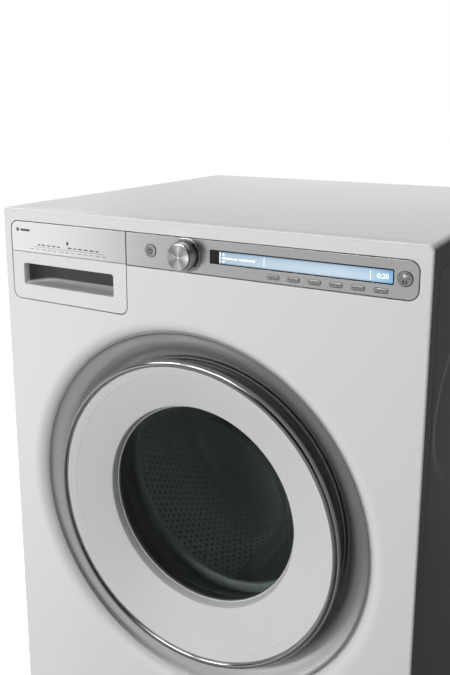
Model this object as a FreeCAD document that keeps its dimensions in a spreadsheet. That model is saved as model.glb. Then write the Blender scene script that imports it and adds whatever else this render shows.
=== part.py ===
import FreeCAD, Part
import Sketcher
import math
import os

# Front-loading drum washing machine, household size, about 595 x 605 x 850 mm over everything.
# Frame: +X to the right seen from the front, +Y into the machine, +Z up.
# Origin: centre of the overall box on the floor. The flat front of the cabinet is the plane
# y = front_plane, the knob stands 20 mm in front of it and the rear fittings end 585 mm behind it.

V = FreeCAD.Vector
doc = FreeCAD.newDocument("washing_machine")
sheet = doc.addObject("Spreadsheet::Sheet", "Dims")

CELLS = [
    ("cab_width", 595.0, "overall width of the cabinet"),
    ("cab_height", 850.0, "overall height"),
    ("cab_depth", 585.0, "front plane to rear face"),
    ("front_plane", -282.5, "y of the flat front"),
    ("foot_height", 25.0, "underside of the cabinet above the floor"),
    ("wrap", 23.0, "how far the front shell wraps over the top and sides"),
    ("skin", 2.5, "wall of the enamelled front shell"),
    ("sheet_wall", 1.2, "wall of the side and rear sheets"),
    ("lid_bottom", 819.0, "lower edge of the worktop skirt"),
    ("edge_round", 3.5, "rounding of the front shell's long edges"),
    ("corner_round", 7.0, "rounding of the front shell's upper corners"),
    ("door_height", 466.7, "height of the door and drum axis"),
    ("roll_radius", 258.0, "where the soft roll round the door starts"),
    ("opening_radius", 243.9, "edge of the white shell round the door"),
    ("surround_radius", 243.5, "outer edge of the metal surround"),
    ("dish_radius", 205.2, "inner wall of the surround"),
    ("throat_radius", 160.0, "hole behind the door"),
    ("bezel_outer", 208.5, "outer radius of the bright door ring"),
    ("bezel_inner", 200.2, "inner radius of the bright door ring"),
    ("pane_radius", 200.0, "outer clear pane"),
    ("window_radius", 139.5, "inner edge of the white dished ring"),
    ("drawer_left", -282.6, "left edge of the drawer front"),
    ("drawer_right", -87.5, "right edge of the drawer front"),
    ("drawer_bottom", 724.0, "lower edge of the drawer front"),
    ("strip_top", 832.0, "upper edge of the control strip and drawer"),
    ("strip_bottom", 790.2, "lower edge of the control strip"),
    ("strip_right", 282.8, "right edge of the control strip"),
    ("strip_round", 11.0, "corner rounding of strip and drawer"),
    ("strip_wall", 3.0, "thickness of the control strip"),
    ("strip_gap", 1.0, "gap round strip and drawer"),
    ("button_line", 797.0, "height of the option button row"),
    ("window_left", 36.0, "display window left"),
    ("window_right", 256.5, "display window right"),
    ("window_low", 804.6, "display window bottom"),
    ("window_high", 820.8, "display window top"),
    ("knob_x", 3.8, "programme knob centre"),
    ("knob_z", 811.5, "programme knob height"),
    ("knob_radius", 17.0, "programme knob radius"),
    ("knob_reach", 20.0, "how far the knob stands out"),
    ("collar_radius", 21.0, "ring round the knob"),
    ("power_x", -49.0, "power button centre"),
    ("start_x", 268.5, "start button centre"),
    ("round_button", 8.0, "radius of the two round buttons"),
    ("hinge_x", -214.4, "door hinge axis"),
    ("hinge_y", 12.6, "door hinge axis behind the front plane"),
    ("drum_radius", 236.0, "outside of the drum"),
    ("drum_front", 100.0, "front of the drum shell behind the front plane"),
    ("drum_rear", 385.0, "rear of the drum shell behind the front plane"),
    ("drum_mouth", 150.0, "radius of the drum mouth"),
    ("tub_radius", 250.0, "outside of the tub"),
    ("tub_wall", 3.0, "wall of the tub"),
    ("tub_front", 110.0, "front of the rear tub half behind the front plane"),
    ("tub_rear", 412.0, "rear of the tub behind the front plane"),
    ("shaft_radius", 12.5, "drum shaft"),
    ("pulley_radius", 140.0, "belt line of the drum pulley"),
    ("motor_pulley_radius", 14.0, "belt line of the motor pulley"),
    ("motor_x", 95.0, "motor axis"),
    ("motor_z", 122.0, "motor axis height"),
    ("belt_mid", 494.0, "belt centre behind the front plane"),
    ("foot_x", 252.0, "levelling feet, half spacing across"),
    ("foot_front", 62.0, "front feet behind the front plane"),
    ("foot_rear", 528.0, "rear feet behind the front plane"),
    ("foot_radius", 22.0, "foot pad radius"),
    ("inlet_radius", 13.2, "water inlet spigot"),
    ("drain_radius", 10.0, "drain spigot"),
]


class Q:
    """A length: the text that binds it to the sheet, and its value."""

    def __init__(self, text, value):
        self.text, self.value = text, value

    @staticmethod
    def of(other):
        return other if isinstance(other, Q) else Q("(%r)" % float(other), float(other))

    def __add__(self, other):
        o = Q.of(other)
        return Q("(%s + %s)" % (self.text, o.text), self.value + o.value)

    def __sub__(self, other):
        o = Q.of(other)
        return Q("(%s - %s)" % (self.text, o.text), self.value - o.value)

    def __mul__(self, other):
        o = Q.of(other)
        return Q("(%s * %s)" % (self.text, o.text), self.value * o.value)

    def __truediv__(self, other):
        o = Q.of(other)
        return Q("(%s / %s)" % (self.text, o.text), self.value / o.value)

    def __radd__(self, other):
        return Q.of(other) + self

    def __rsub__(self, other):
        return Q.of(other) - self

    def __rmul__(self, other):
        return Q.of(other) * self

    def __neg__(self):
        return Q("(0 - %s)" % self.text, -self.value)


D = {}
for row, (alias, value, note) in enumerate(CELLS, 1):
    sheet.set("A%d" % row, alias)
    sheet.set("B%d" % row, str(value))
    sheet.set("C%d" % row, note)
    sheet.setAlias("B%d" % row, alias)
    D[alias] = Q("Dims." + alias, value)
doc.recompute()


def num(q):
    return Q.of(q).value


def bind(obj, path, q):
    obj.setExpression(path, Q.of(q).text)


F = D["front_plane"]
DZ = D["door_height"]
PARTS = []


def keep(obj, name):
    obj.Label = name
    PARTS.append((name, obj))
    return obj


def inner(body):
    """Takes a body off the list of nodes, to be joined into another one."""
    PARTS.pop()
    body.body.Label = body.name + "_blank"
    return body.body


def place(obj, x, y, z):
    obj.Placement.Base = V(num(x), num(y), num(z))
    bind(obj, "Placement.Base.x", x)
    bind(obj, "Placement.Base.y", y)
    bind(obj, "Placement.Base.z", z)


# ---------------------------------------------------------------- primitives
COUNT = [0]


def fresh(prefix):
    COUNT[0] += 1
    return "%s_%d" % (prefix, COUNT[0])


def box(x0, y0, z0, x1, y1, z1):
    """Box between two corners, y measured behind the front plane."""
    o = doc.addObject("Part::Box", fresh("Block"))
    x0, y0, z0, x1, y1, z1 = [Q.of(q) for q in (x0, y0, z0, x1, y1, z1)]
    bind(o, "Length", x1 - x0)
    bind(o, "Width", y1 - y0)
    bind(o, "Height", z1 - z0)
    place(o, x0, F + y0, z0)
    return o


TURN = {
    "x": FreeCAD.Rotation(V(0, 0, 1), V(1, 0, 0)),
    "y": FreeCAD.Rotation(V(0, 0, 1), V(0, 1, 0)),
    "z": FreeCAD.Rotation(),
}


def cyl(x, y, z, r, length, along="y"):
    """Cylinder from its start point, y measured behind the front plane."""
    o = doc.addObject("Part::Cylinder", fresh("Round"))
    o.Placement = FreeCAD.Placement(V(0, 0, 0), TURN[along])
    bind(o, "Radius", r)
    bind(o, "Height", length)
    place(o, Q.of(x), F + y, Q.of(z))
    return o


def cone(x, y, z, r1, r2, length, along="y"):
    o = doc.addObject("Part::Cone", fresh("Taper"))
    o.Placement = FreeCAD.Placement(V(0, 0, 0), TURN[along])
    bind(o, "Radius1", r1)
    bind(o, "Radius2", r2)
    bind(o, "Height", length)
    place(o, Q.of(x), F + y, Q.of(z))
    return o


def fuse(*shapes):
    o = doc.addObject("Part::MultiFuse", fresh("Joined"))
    o.Shapes = list(shapes)
    o.Refine = True
    return o


def cut(base, *tools):
    tool = tools[0] if len(tools) == 1 else fuse(*tools)
    if len(tools) > 1:
        tool.Refine = False
    o = doc.addObject("Part::Cut", fresh("Cut"))
    o.Base, o.Tool = base, tool
    return o


def group(*shapes):
    o = doc.addObject("Part::Compound", fresh("Group"))
    o.Links = list(shapes)
    return o


# ---------------------------------------------------------------- bodies
PLANES = {"XY": "XY_Plane", "XZ": "XZ_Plane", "YZ": "YZ_Plane"}


class Body:
    """A PartDesign body whose sketches are bound to the sheet."""

    def __init__(self, name, x=0.0, y=0.0, z=0.0):
        self.name = name
        self.body = doc.addObject("PartDesign::Body", "Body_" + name)
        place(self.body, Q.of(x), F + y, Q.of(z))
        keep(self.body, name)

    def sketch(self, plane, offset=0.0):
        sk = self.body.newObject("Sketcher::SketchObject", fresh("Sketch"))
        origin = [f for f in self.body.Origin.OriginFeatures if f.Role == PLANES[plane]][0]
        sk.AttachmentSupport = [(origin, "")]
        sk.MapMode = "FlatFace"
        bind(sk, "AttachmentOffset.Base.z", -Q.of(offset) if plane == "XZ" else offset)
        return sk

    def pad(self, plane, a, b, *loops):
        sk = self.sketch(plane, a)
        for loop in loops:
            loop(sk)
        p = self.body.newObject("PartDesign::Pad", fresh("Pad"))
        p.Profile = sk
        bind(p, "Length", Q.of(b) - a)
        p.Reversed = plane == "XZ"
        return p

    def pocket(self, plane, a, b, *loops):
        doc.recompute()
        before = self.body.Shape.Volume
        sk = self.sketch(plane, a)
        for loop in loops:
            loop(sk)
        p = self.body.newObject("PartDesign::Pocket", fresh("Pocket"))
        p.Profile = sk
        bind(p, "Length", Q.of(b) - a)
        p.Reversed = plane != "XZ"
        doc.recompute()
        if self.body.Shape.Volume > before - 1e-3:
            raise RuntimeError(self.name + ": a pocket cut nothing")
        return p

    def turn(self, points, offset=0.0, groove=False):
        """Revolves (radius, along) points about the body's Y axis, or about a line parallel
        to it at height offset."""
        sk = self.sketch("XY", offset)
        polygon(points)(sk)
        kind = "PartDesign::Groove" if groove else "PartDesign::Revolution"
        r = self.body.newObject(kind, fresh("Turned"))
        r.Profile = sk
        r.ReferenceAxis = (sk, ["V_Axis"])
        r.Angle = 360
        return r

    def turn_z(self, points):
        sk = self.sketch("XZ")
        polygon(points)(sk)
        r = self.body.newObject("PartDesign::Revolution", fresh("Turned"))
        r.Profile = sk
        r.ReferenceAxis = (sk, ["V_Axis"])
        r.Angle = 360
        return r

    def fillet(self, radius, pick):
        doc.recompute()
        tip = self.body.Tip
        names = ["Edge%d" % (i + 1) for i, e in enumerate(tip.Shape.Edges) if pick(e)]
        if not names:
            raise RuntimeError(self.name + ": no edge to round")
        f = self.body.newObject("PartDesign::Fillet", fresh("Fillet"))
        f.Base = (tip, names)
        bind(f, "Radius", radius)
        return f


def put(sk, geo, pos, x, y):
    for kind, q in (("DistanceX", x), ("DistanceY", y)):
        q = Q.of(q)
        i = sk.addConstraint(Sketcher.Constraint(kind, geo, pos, q.value))
        sk.setExpression("Constraints[%d]" % i, q.text)


def polygon(points):
    pts = [(Q.of(x), Q.of(y)) for x, y in points]

    def draw(sk):
        first, n = sk.GeometryCount, len(pts)
        for k in range(n):
            (ax, ay), (bx, by) = pts[k], pts[(k + 1) % n]
            sk.addGeometry(Part.LineSegment(V(ax.value, ay.value, 0), V(bx.value, by.value, 0)), False)
        for k in range(n):
            sk.addConstraint(Sketcher.Constraint("Coincident", first + k, 2, first + (k + 1) % n, 1))
        for k in range(n):
            put(sk, first + k, 1, *pts[k])

    return draw


def circle(x, y, r):
    def draw(sk):
        q = Q.of(r)
        g = sk.addGeometry(Part.Circle(V(num(x), num(y), 0), V(0, 0, 1), q.value), False)
        put(sk, g, 3, x, y)
        i = sk.addConstraint(Sketcher.Constraint("Radius", g, q.value))
        sk.setExpression("Constraints[%d]" % i, q.text)

    return draw


def rounded(x0, y0, x1, y1, radii):
    """Rectangle with corner radii in the order low-left, low-right, high-right, high-left."""
    x0, y0, x1, y1 = [Q.of(q) for q in (x0, y0, x1, y1)]
    r = [Q.of(q) for q in (radii if isinstance(radii, (list, tuple)) else [radii] * 4)]

    def draw(sk):
        corners = [
            ((x0, y0 + r[0]), (x0 + r[0], y0), (x0 + r[0], y0 + r[0]), r[0], 180),
            ((x1 - r[1], y0), (x1, y0 + r[1]), (x1 - r[1], y0 + r[1]), r[1], 270),
            ((x1, y1 - r[2]), (x1 - r[2], y1), (x1 - r[2], y1 - r[2]), r[2], 0),
            ((x0 + r[3], y1), (x0, y1 - r[3]), (x0 + r[3], y1 - r[3]), r[3], 90),
        ]
        segments = []
        for k, (a, b, c, rad, start) in enumerate(corners):
            if rad.value > 0:
                segments.append(("arc", a, c, rad, start))
            segments.append(("line", b if rad.value > 0 else a, None, None, None))
        first, n = sk.GeometryCount, len(segments)
        for k, (kind, a, c, rad, start) in enumerate(segments):
            if kind == "line":
                e = segments[(k + 1) % n][1]
                sk.addGeometry(
                    Part.LineSegment(V(a[0].value, a[1].value, 0), V(e[0].value, e[1].value, 0)), False
                )
            else:
                full = Part.Circle(V(c[0].value, c[1].value, 0), V(0, 0, 1), rad.value)
                sk.addGeometry(
                    Part.ArcOfCircle(full, math.radians(start), math.radians(start + 90)), False
                )
        for k in range(n):
            sk.addConstraint(Sketcher.Constraint("Coincident", first + k, 2, first + (k + 1) % n, 1))
        for k, (kind, a, c, rad, start) in enumerate(segments):
            put(sk, first + k, 1, *a)
            if kind == "arc":
                i = sk.addConstraint(Sketcher.Constraint("Radius", first + k, rad.value))
                sk.setExpression("Constraints[%d]" % i, rad.text)

    return draw


def rect(x0, y0, x1, y1):
    return polygon([(x0, y0), (x1, y0), (x1, y1), (x0, y1)])


def feature(name, shape):
    o = doc.addObject("Part::Feature", "Free_" + name)
    where = shape.Placement
    o.Shape = shape
    o.Placement = where
    return keep(o, name)


half = D["cab_width"] / 2
wrap, skin = D["wrap"], D["skin"]
fh, top_z = D["foot_height"], D["cab_height"]
depth = D["cab_depth"]
wall = D["sheet_wall"]
lid = D["lid_bottom"]

# ---------------------------------------------------------------- cabinet
# Front shell: pressed white shell that wraps 23 mm over the top and the sides, with a soft
# roll into the round door opening.
b = Body("front_panel")
cr = D["corner_round"]
b.pad("XZ", 0.0, wrap, rounded(-half, fh, half, top_z, [3.0, 3.0, cr, cr]))
b.fillet(
    D["edge_round"],
    lambda e: all(abs(v.Point.y - num(F)) < 1e-6 or abs(v.Point.y) < 1e-6 for v in e.Vertexes)
    and abs(e.BoundBox.YLength) < 1e-6
    and (abs(e.BoundBox.YMin) < 1e-6 or abs(e.BoundBox.YMin - num(F)) < 1e-6),
)
b.pocket(
    "XZ", skin, wrap + 1, rounded(-half + skin, fh + skin, half - skin, top_z - skin, [2.0, 2.0, cr - 2, cr - 2])
)
b.pocket("XZ", -1.0, skin + 1, circle(0.0, DZ, D["roll_radius"]))
gap = D["strip_gap"]
sr = D["strip_round"]
b.pocket(
    "XZ",
    -1.0,
    skin + 1,
    rounded(
        D["drawer_left"] - gap, D["drawer_bottom"] - gap, D["drawer_right"] + gap, D["strip_top"] + gap,
        [sr + 1, sr + 1, 0.0, sr + 1],
    ),
)
b.pocket(
    "XZ",
    -1.0,
    skin + 1,
    rounded(
        D["drawer_right"] - 2, D["strip_bottom"] - gap, D["strip_right"] + gap, D["strip_top"] + gap,
        [0.0, sr + 1, sr + 1, 0.0],
    ),
)
b.pocket("XZ", -1.0, skin + 1, rounded(118.0, 48.0, 222.0, 150.0, 4.0))
orr = D["opening_radius"]
roll = D["roll_radius"]
b.turn(
    [
        (roll + 1, 0.0), (roll - 1.2, 0.25), (roll - 4, 1.0), (roll - 7, 2.3), (roll - 10, 4.2),
        (roll - 12.3, 6.4), (orr + 0.5, 8.0), (orr, 9.5), (orr, 11.8), (orr + 2.5, 11.8),
        (orr + 2.6, 9.8), (roll - 10.5, 7.4), (roll - 8, 5.2), (roll - 5, 3.7), (roll - 1, 2.5), (roll + 1, 2.5),
    ],
    DZ,
)

# Side sheets: C-shaped, with two pressed oval beads.
for side, name in ((-1, "left_side_panel"), (1, "right_side_panel")):
    s = float(side)
    low, high = fh, lid
    def sx(inset):
        return (half - inset) * s
    outline = [
        (sx(0.0), wrap), (sx(0.0), depth - 1), (sx(22.0), depth - 1), (sx(22.0), depth - 1 - wall),
        (sx(wall), depth - 1 - wall), (sx(wall), wrap + wall), (sx(12.0), wrap + wall), (sx(12.0), wrap),
    ]
    b = Body(name)
    b.pad("XY", low, high - 0.3, polygon(outline))
    part = inner(b)
    beads, hollows = [], []
    for bz in (631.0, 240.0):
        for major, minor, a0, a1, target in (
            (255.0, 121.0, 0.0, 1.2, hollows),
            (256.5, 122.5, 1.1, 2.4, beads),
        ):
            el = doc.addObject("Part::Ellipse", fresh("Oval"))
            el.MajorRadius, el.MinorRadius = major, minor
            ex = doc.addObject("Part::Extrusion", fresh("Bead"))
            ex.Base, ex.DirMode, ex.Solid = el, "Custom", True
            ex.Dir = V(0, 0, 1)
            ex.LengthFwd = a1 - a0
            # oval plane turned to face the side; its long axis lies along Y
            if side > 0:
                rot = FreeCAD.Rotation(V(0, 1, 0), V(0, 0, 1), V(1, 0, 0), "ZXY")
            else:
                rot = FreeCAD.Rotation(V(0, 1, 0), V(0, 0, -1), V(-1, 0, 0), "ZXY")
            start = sx(a1)
            ex.Placement = FreeCAD.Placement(V(num(start), num(F) + 292.0, bz), rot)
            bind(ex, "Placement.Base.x", start)
            bind(ex, "Placement.Base.y", F + 292.0)
            target.append(ex)
    keep(cut(fuse(part, *beads), *hollows), name)

# Worktop: moulded lid with rounded long edges and a skirt 31 mm deep.
b = Body("top_panel")
b.pad("XZ", wrap + 0.4, depth, rounded(-half, lid, half, top_z, [1.5, 1.5, 5.0, 5.0]))
b.fillet(
    2.5,
    lambda e: abs(e.BoundBox.YLength) < 1e-6
    and (abs(e.BoundBox.YMax - num(depth)) < 1e-6 or abs(e.BoundBox.YMax - num(depth + F)) < 1e-6)
    and e.BoundBox.ZMax > 848,
)
b.pocket("XY", lid - 1, top_z - 14, rect(-half + 4, wrap - 1, half - 4, depth - 3))

# Chassis tray with four foot bosses.
keep(
    cut(
        fuse(
            cut(
                box(-half + 4, 24.4, fh, half - 4, 574.0, 62.0),
                box(-half + 6, 26.4, fh + 3, half - 6, 572.0, 63.0),
            ),
            *[
                box(sx_ * D["foot_x"] - 22.0, fy - 22.0, fh + 1, sx_ * D["foot_x"] + 22.0, fy + 22.0, 44.0)
                for sx_ in (-1.0, 1.0)
                for fy in (D["foot_front"], D["foot_rear"])
            ],
        ),
        *[
            cyl(sx_ * D["foot_x"], fy, 20.0, 5.05, 30.0, "z")
            for sx_ in (-1.0, 1.0)
            for fy in (D["foot_front"], D["foot_rear"])
        ],
    ),
    "base_frame",
)

# Rear sheet with a round-cornered access hole, and its pressed cover.
rp_y = 578.0
b = Body("rear_panel")
b.pad("XZ", rp_y, rp_y + wall, rounded(-half + 3, 68.0, half - 3, 812.0, 8.0))
b.pocket("XZ", rp_y - 1, rp_y + 3, rounded(-170.0, 110.0, 190.0, 640.0, 60.0))
b.pocket("XZ", rp_y - 1, rp_y + 3, circle(205.0, 770.0, 21.0), circle(-215.0, 700.0, 13.0), circle(-235.0, 765.0, 14.0))

COVER_SCREWS = [(-177.0, 300.0), (197.0, 300.0), (-177.0, 480.0), (197.0, 480.0), (10.0, 102.0), (10.0, 648.0)]
SHEET_SCREWS = [(-284.0, 200.0), (284.0, 200.0), (-284.0, 500.0), (284.0, 500.0), (-284.0, 780.0), (284.0, 780.0)]
b.pocket("XZ", rp_y - 1, rp_y + 3, *[circle(x_, z_, 2.0) for x_, z_ in COVER_SCREWS + SHEET_SCREWS])

b = Body("rear_service_cover")
b.pad("XZ", rp_y + 1.4, rp_y + 2.6, rounded(-185.0, 95.0, 205.0, 655.0, 70.0))
b.pad("XZ", rp_y + 2.4, rp_y + 4.6, rounded(-150.0, 130.0, 170.0, 620.0, 55.0))
b.pocket("XZ", rp_y + 1.0, rp_y + 3.4, rounded(-148.5, 131.5, 168.5, 618.5, 53.5))
b.pocket("XZ", rp_y + 1.0, rp_y + 5, *[circle(x_, z_, 2.0) for x_, z_ in COVER_SCREWS])

# ---------------------------------------------------------------- door surround and door
dish, throat = D["dish_radius"], D["throat_radius"]
sur = D["surround_radius"]
b = Body("door_surround", z=DZ)
b.turn(
    [
        (sur, 9.9), (sur - 1.2, 11.6), (sur - 4.4, 15.6), (sur - 8, 21.0), (sur - 13.9, 26.2), (sur - 20, 27.6),
        (sur - 27.5, 28.7), (dish + 2.5, 30.0), (dish + 0.6, 31.0), (dish, 33.0), (dish, 46.0), (throat, 46.0),
        (throat, 54.0), (throat + 2.5, 54.0), (throat + 2.5, 48.5), (dish + 2.5, 48.5), (dish + 2.5, 33.0),
        (sur - 27.5, 31.4), (sur - 13, 28.9), (sur - 6, 23.5), (sur - 2, 17.0), (sur + 0.1, 14.6), (sur + 8.5, 14.6),
        (sur + 8.5, 12.2), (sur + 0.1, 12.2),
    ]
)
b.pocket("XZ", 40.0, 50.0, rect(166.0, -16.0, 198.0, 16.0))
b.pocket("XZ", 26.0, 36.0, rect(-218.4, 17.4, -214.2, 31.6), rect(-218.4, -31.6, -214.2, -17.4))

bo, bi = D["bezel_outer"], D["bezel_inner"]
b = Body("door_bezel", z=DZ)
b.turn(
    [
        (bi, 30.4), (bi, 0.6), (bi + 0.25, -1.4), (bi + 0.9, -2.8), (bi + 1.9, -3.7), (bi + 3.0, -4.0),
        (bi + 4.4, -3.75), (bi + 5.8, -2.9), (bo - 1.4, -1.6), (bo - 0.5, 0.3), (bo, 2.6), (bo, 4.8),
        (bo - 0.6, 7.4), (bo - 1.7, 11.0), (bo - 3.2, 17.0), (bo - 5.2, 30.4),
    ]
)

b = Body("door_outer_pane", z=DZ)
b.pad("XZ", -0.8, 0.7, circle(0.0, 0.0, D["pane_radius"]))

wr = D["window_radius"]
b = Body("door_white_ring", z=DZ)
b.turn(
    [
        (bi - 0.3, 1.0), (bi - 13.0, 4.6), (bi - 13.6, 5.1), (wr + 1.2, 24.2), (wr, 25.2), (wr - 6.5, 34.0),
        (wr - 3.6, 34.0), (wr + 2.0, 27.2), (bi - 13.4, 7.7), (bi - 3.0, 4.6), (bi - 3.0, 30.4), (bi - 0.3, 30.4),
    ]
)

b = Body("door_inner_frame", z=DZ)
b.turn(
    [
        (dish - 2.4, 30.6), (dish - 2.4, 37.0), (dish - 12.0, 42.0), (150.0, 42.0), (135.6, 39.5), (135.6, 34.2),
        (150.0, 34.2), (152.0, 37.0), (186.0, 37.0), (190.0, 30.6),
    ]
)

b = Body("door_glass_bowl", z=DZ)
b.turn(
    [
        (0.0, 106.0), (50.0, 105.0), (74.0, 102.6), (92.0, 98.0), (104.0, 88.0), (116.0, 64.0), (127.0, 42.0),
        (129.0, 38.6), (135.2, 38.6), (135.2, 34.4), (124.6, 34.4), (112.0, 62.0), (100.5, 86.0), (90.0, 94.2),
        (73.0, 98.6), (50.0, 101.0), (0.0, 102.0),
    ]
)

# Gasket: rubber bellows from the throat of the surround to the mouth of the tub.
b = Body("door_gasket", z=DZ)
b.turn(
    [
        (140.0, 43.6), (159.8, 43.2), (159.8, 62.0), (151.5, 68.0), (151.0, 70.0), (151.5, 72.0), (159.8, 77.0),
        (159.8, 92.0), (157.4, 92.0), (157.2, 78.6), (149.5, 73.2), (148.6, 70.0), (149.5, 66.8), (157.2, 60.6),
        (157.2, 45.8), (140.0, 46.0),
    ]
)

# Hinge at the left: two fixed knuckles, one knuckle on the door, and a pin.
hx, hy = D["hinge_x"], D["hinge_y"]
fixed = [
    cyl(hx, hy, DZ + z0, 3.6, 13.0, "z") for z0 in (-31.0, 18.0)
] + [
    box(hx - 3.6, hy, DZ + z0, hx - 0.4, hy + 23.0, DZ + z0 + 13.0) for z0 in (-31.0, 18.0)
]
pieces = fuse(
    fixed[0], fixed[1], fixed[2], fixed[3],
    box(hx - 13.6, 33.4, DZ - 31.0, hx + 4.4, 35.9, DZ + 31.0),
)
bore = cyl(hx, hy, DZ - 50, 2.04, 100.0, "z")
keep(cut(pieces, bore), "hinge_bracket")
keep(
    cut(
        fuse(
            cyl(hx, hy, DZ - 17.6, 3.6, 35.2, "z"),
            box(hx + 0.8, hy + 0.5, DZ - 17.6, hx + 11.2, hy + 3.3, DZ + 17.6),
            box(hx + 8.0, hy + 0.5, DZ - 17.6, hx + 11.2, hy + 17.4, DZ + 17.6),
        ),
        cone(0.0, 11.0, DZ, 206.95, 203.45, 19.4),
        cyl(hx, hy, DZ - 50, 2.04, 100.0, "z"),
    ),
    "door_hinge_leaf",
)
keep(fuse(cyl(hx, hy, DZ - 32.0, 2.0, 64.0, "z"), cyl(hx, hy, DZ + 31.2, 3.0, 1.6, "z")), "hinge_pin")

# Latch: hook on the right of the door, lock box behind the surround.
keep(
    cut(
        fuse(
            box(178.0, 42.0, DZ - 8, 184.0, 62.0, DZ + 8),
            box(172.0, 57.0, DZ - 8, 181.0, 62.0, DZ + 8),
        ),
        box(171.0, 60.5, DZ - 3, 190.0, 63.0, DZ + 3),
    ),
    "door_latch_hook",
)
keep(
    cut(
        box(163.0, 48.8, DZ - 38, 203.0, 78.0, DZ + 38),
        box(165.5, 46.0, DZ - 17, 198.0, 70.0, DZ + 17),
    ),
    "door_lock",
)

# ---------------------------------------------------------------- controls
b = Body("control_fascia")
b.pad(
    "XZ", 0.2, D["strip_wall"] + 0.2,
    rounded(D["drawer_right"] + gap, D["strip_bottom"], D["strip_right"], D["strip_top"], [0.0, sr, sr, 0.0]),
)
wl, wrr, wb, wt = D["window_left"], D["window_right"], D["window_low"], D["window_high"]
b.pocket("XZ", -1.0, 5.0, rounded(wl - 0.3, wb - 0.3, wrr + 0.3, wt + 0.3, 1.8))
b.pocket(
    "XZ", -1.0, 5.0,
    circle(D["power_x"], 811.7, D["round_button"] + 0.35),
    circle(D["start_x"], 812.3, D["round_button"] + 0.35),
    circle(D["knob_x"], D["knob_z"], 7.0),
)
OPTIONS = [118.5, 143.4, 168.4, 193.4, 218.4, 243.5]
bl = D["button_line"]
for ox in OPTIONS:
    b.pocket("XZ", -1.0, 5.0, rounded(ox - 7.8, bl - 2.8, ox + 7.8, bl + 2.8, 2.6))

fascia = inner(b)
kr = D["knob_radius"]
b = Body("knob_collar", x=D["knob_x"], z=D["knob_z"])
b.turn(
    [(kr + 0.7, 0.5), (kr + 0.7, -2.6), (kr + 1.4, -3.2), (kr + 2.8, -3.1), (kr + 3.7, -2.2), (kr + 4.0, -0.8), (kr + 4.0, 0.5)]
)
keep(fuse(fascia, inner(b)), "control_fascia")

b = Body("display_window")
b.pad("XZ", 0.1, 2.4, rounded(wl, wb, wrr, wt, 1.5))



board = [box(-76.0, 13.0, 791.5, 278.0, 14.6, 831.0)]
for cx, cz, w_, d_, h_ in (
    (-55.0, 800.0, 22.0, 14.0, 14.0), (-25.0, 816.0, 16.0, 10.0, 12.0), (60.0, 812.0, 30.0, 4.0, 22.0),
    (110.0, 800.0, 16.0, 12.0, 14.0), (140.0, 816.0, 14.0, 15.0, 14.0), (190.0, 806.0, 40.0, 6.0, 18.0),
    (245.0, 810.0, 22.0, 12.0, 20.0),
):
    board.append(box(cx - w_ / 2, 14.5, cz - h_ / 2, cx + w_ / 2, 14.6 + d_, cz + h_ / 2))
board.append(box(wl + 2, 2.6, wb + 1, wrr - 2, 7.0, wt - 1))
board.append(box(wl + 60, 6.9, wb + 2, wrr - 60, 13.1, wt - 2))
for ox, oz in [(D["power_x"], 811.7), (D["start_x"], 812.3)] + [(o, bl) for o in OPTIONS]:
    board.append(box(Q.of(ox) - 3.0, 10.6, Q.of(oz) - 3.0, Q.of(ox) + 3.0, 13.1, Q.of(oz) + 3.0))
    board.append(cyl(ox, 9.4, oz, 1.6, 1.4))
for px, pz in ((-70.0, 827.0), (-70.0, 795.0), (20.0, 827.5), (272.0, 795.5)):
    board.append(cyl(px, 3.2, pz, 3.0, 10.0))
board.append(cyl(D["knob_x"], 6.0, D["knob_z"], 9.5, 7.1))
keep(cut(fuse(*board), cyl(D["knob_x"], 2.0, D["knob_z"], 3.04, 40.0)), "control_board")

for name, bx, bz in (("power_button", D["power_x"], 811.7), ("start_button", D["start_x"], 812.3)):
    b = Body(name, x=bx, z=bz)
    b.turn([(0.0, -1.0), (7.2, -1.0), (7.8, -0.7), (8.0, -0.2), (8.0, 3.6), (6.0, 4.2), (2.4, 4.2), (2.4, 8.0), (0.0, 8.0)])
for k, ox in enumerate(OPTIONS, 1):
    b = Body("option_button_%d" % k, x=ox, z=bl)
    b.pad("XZ", -0.7, 4.2, rounded(-7.5, -2.5, 7.5, 2.5, 2.4))
    b.pad("XZ", 4.1, 8.2, circle(0.0, 0.0, 1.6))

kx, kz, kr, reach = D["knob_x"], D["knob_z"], D["knob_radius"], D["knob_reach"]
b = Body("program_knob", x=kx, z=kz)
b.turn(
    [
        (0.0, -reach), (kr - 2.2, -reach), (kr - 1.4, -reach + 0.2), (kr - 0.6, -reach + 1.3), (kr, -reach + 2.4),
        (kr, -1.4), (kr - 2, -1.0), (5.0, -1.0), (5.0, 2.0), (3.0, 2.5), (3.0, 12.0), (0.0, 12.0),
    ]
)

# ---------------------------------------------------------------- detergent drawer
dl, dr, db = D["drawer_left"], D["drawer_right"], D["drawer_bottom"]
sb, st = D["strip_bottom"], D["strip_top"]
b = Body("drawer_front")
b.pad("XZ", 0.0, 24.0, rounded(dl, db, dr, sb, [sr, sr, 0.0, 0.0]))
b.fillet(1.0, lambda e: abs(e.BoundBox.YLength) < 1e-6 and e.BoundBox.ZMax < num(sb) - 0.01
         and min(abs(e.BoundBox.YMax), abs(e.BoundBox.YMax - num(F))) < 1e-6)
b.pad("XZ", 3.2, 8.0, rounded(dl + 1, sb - 0.5, dr - 1, st - 1, [0.0, 0.0, 0.0, sr - 1]))
b.pocket(
    "YZ", dl + 20.1, dr - 21.0,
    polygon([(-1.0, 745.0), (0.0, 745.0), (21.0, 756.0), (21.0, 781.0), (4.0, 781.0), (4.0, 774.5), (-1.0, 774.5)]),
)
b = Body("drawer_trim")
b.pad("XZ", 0.2, 3.2, rounded(dl, sb + 0.6, dr, st, [0.0, 0.0, 0.0, sr]))

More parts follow.
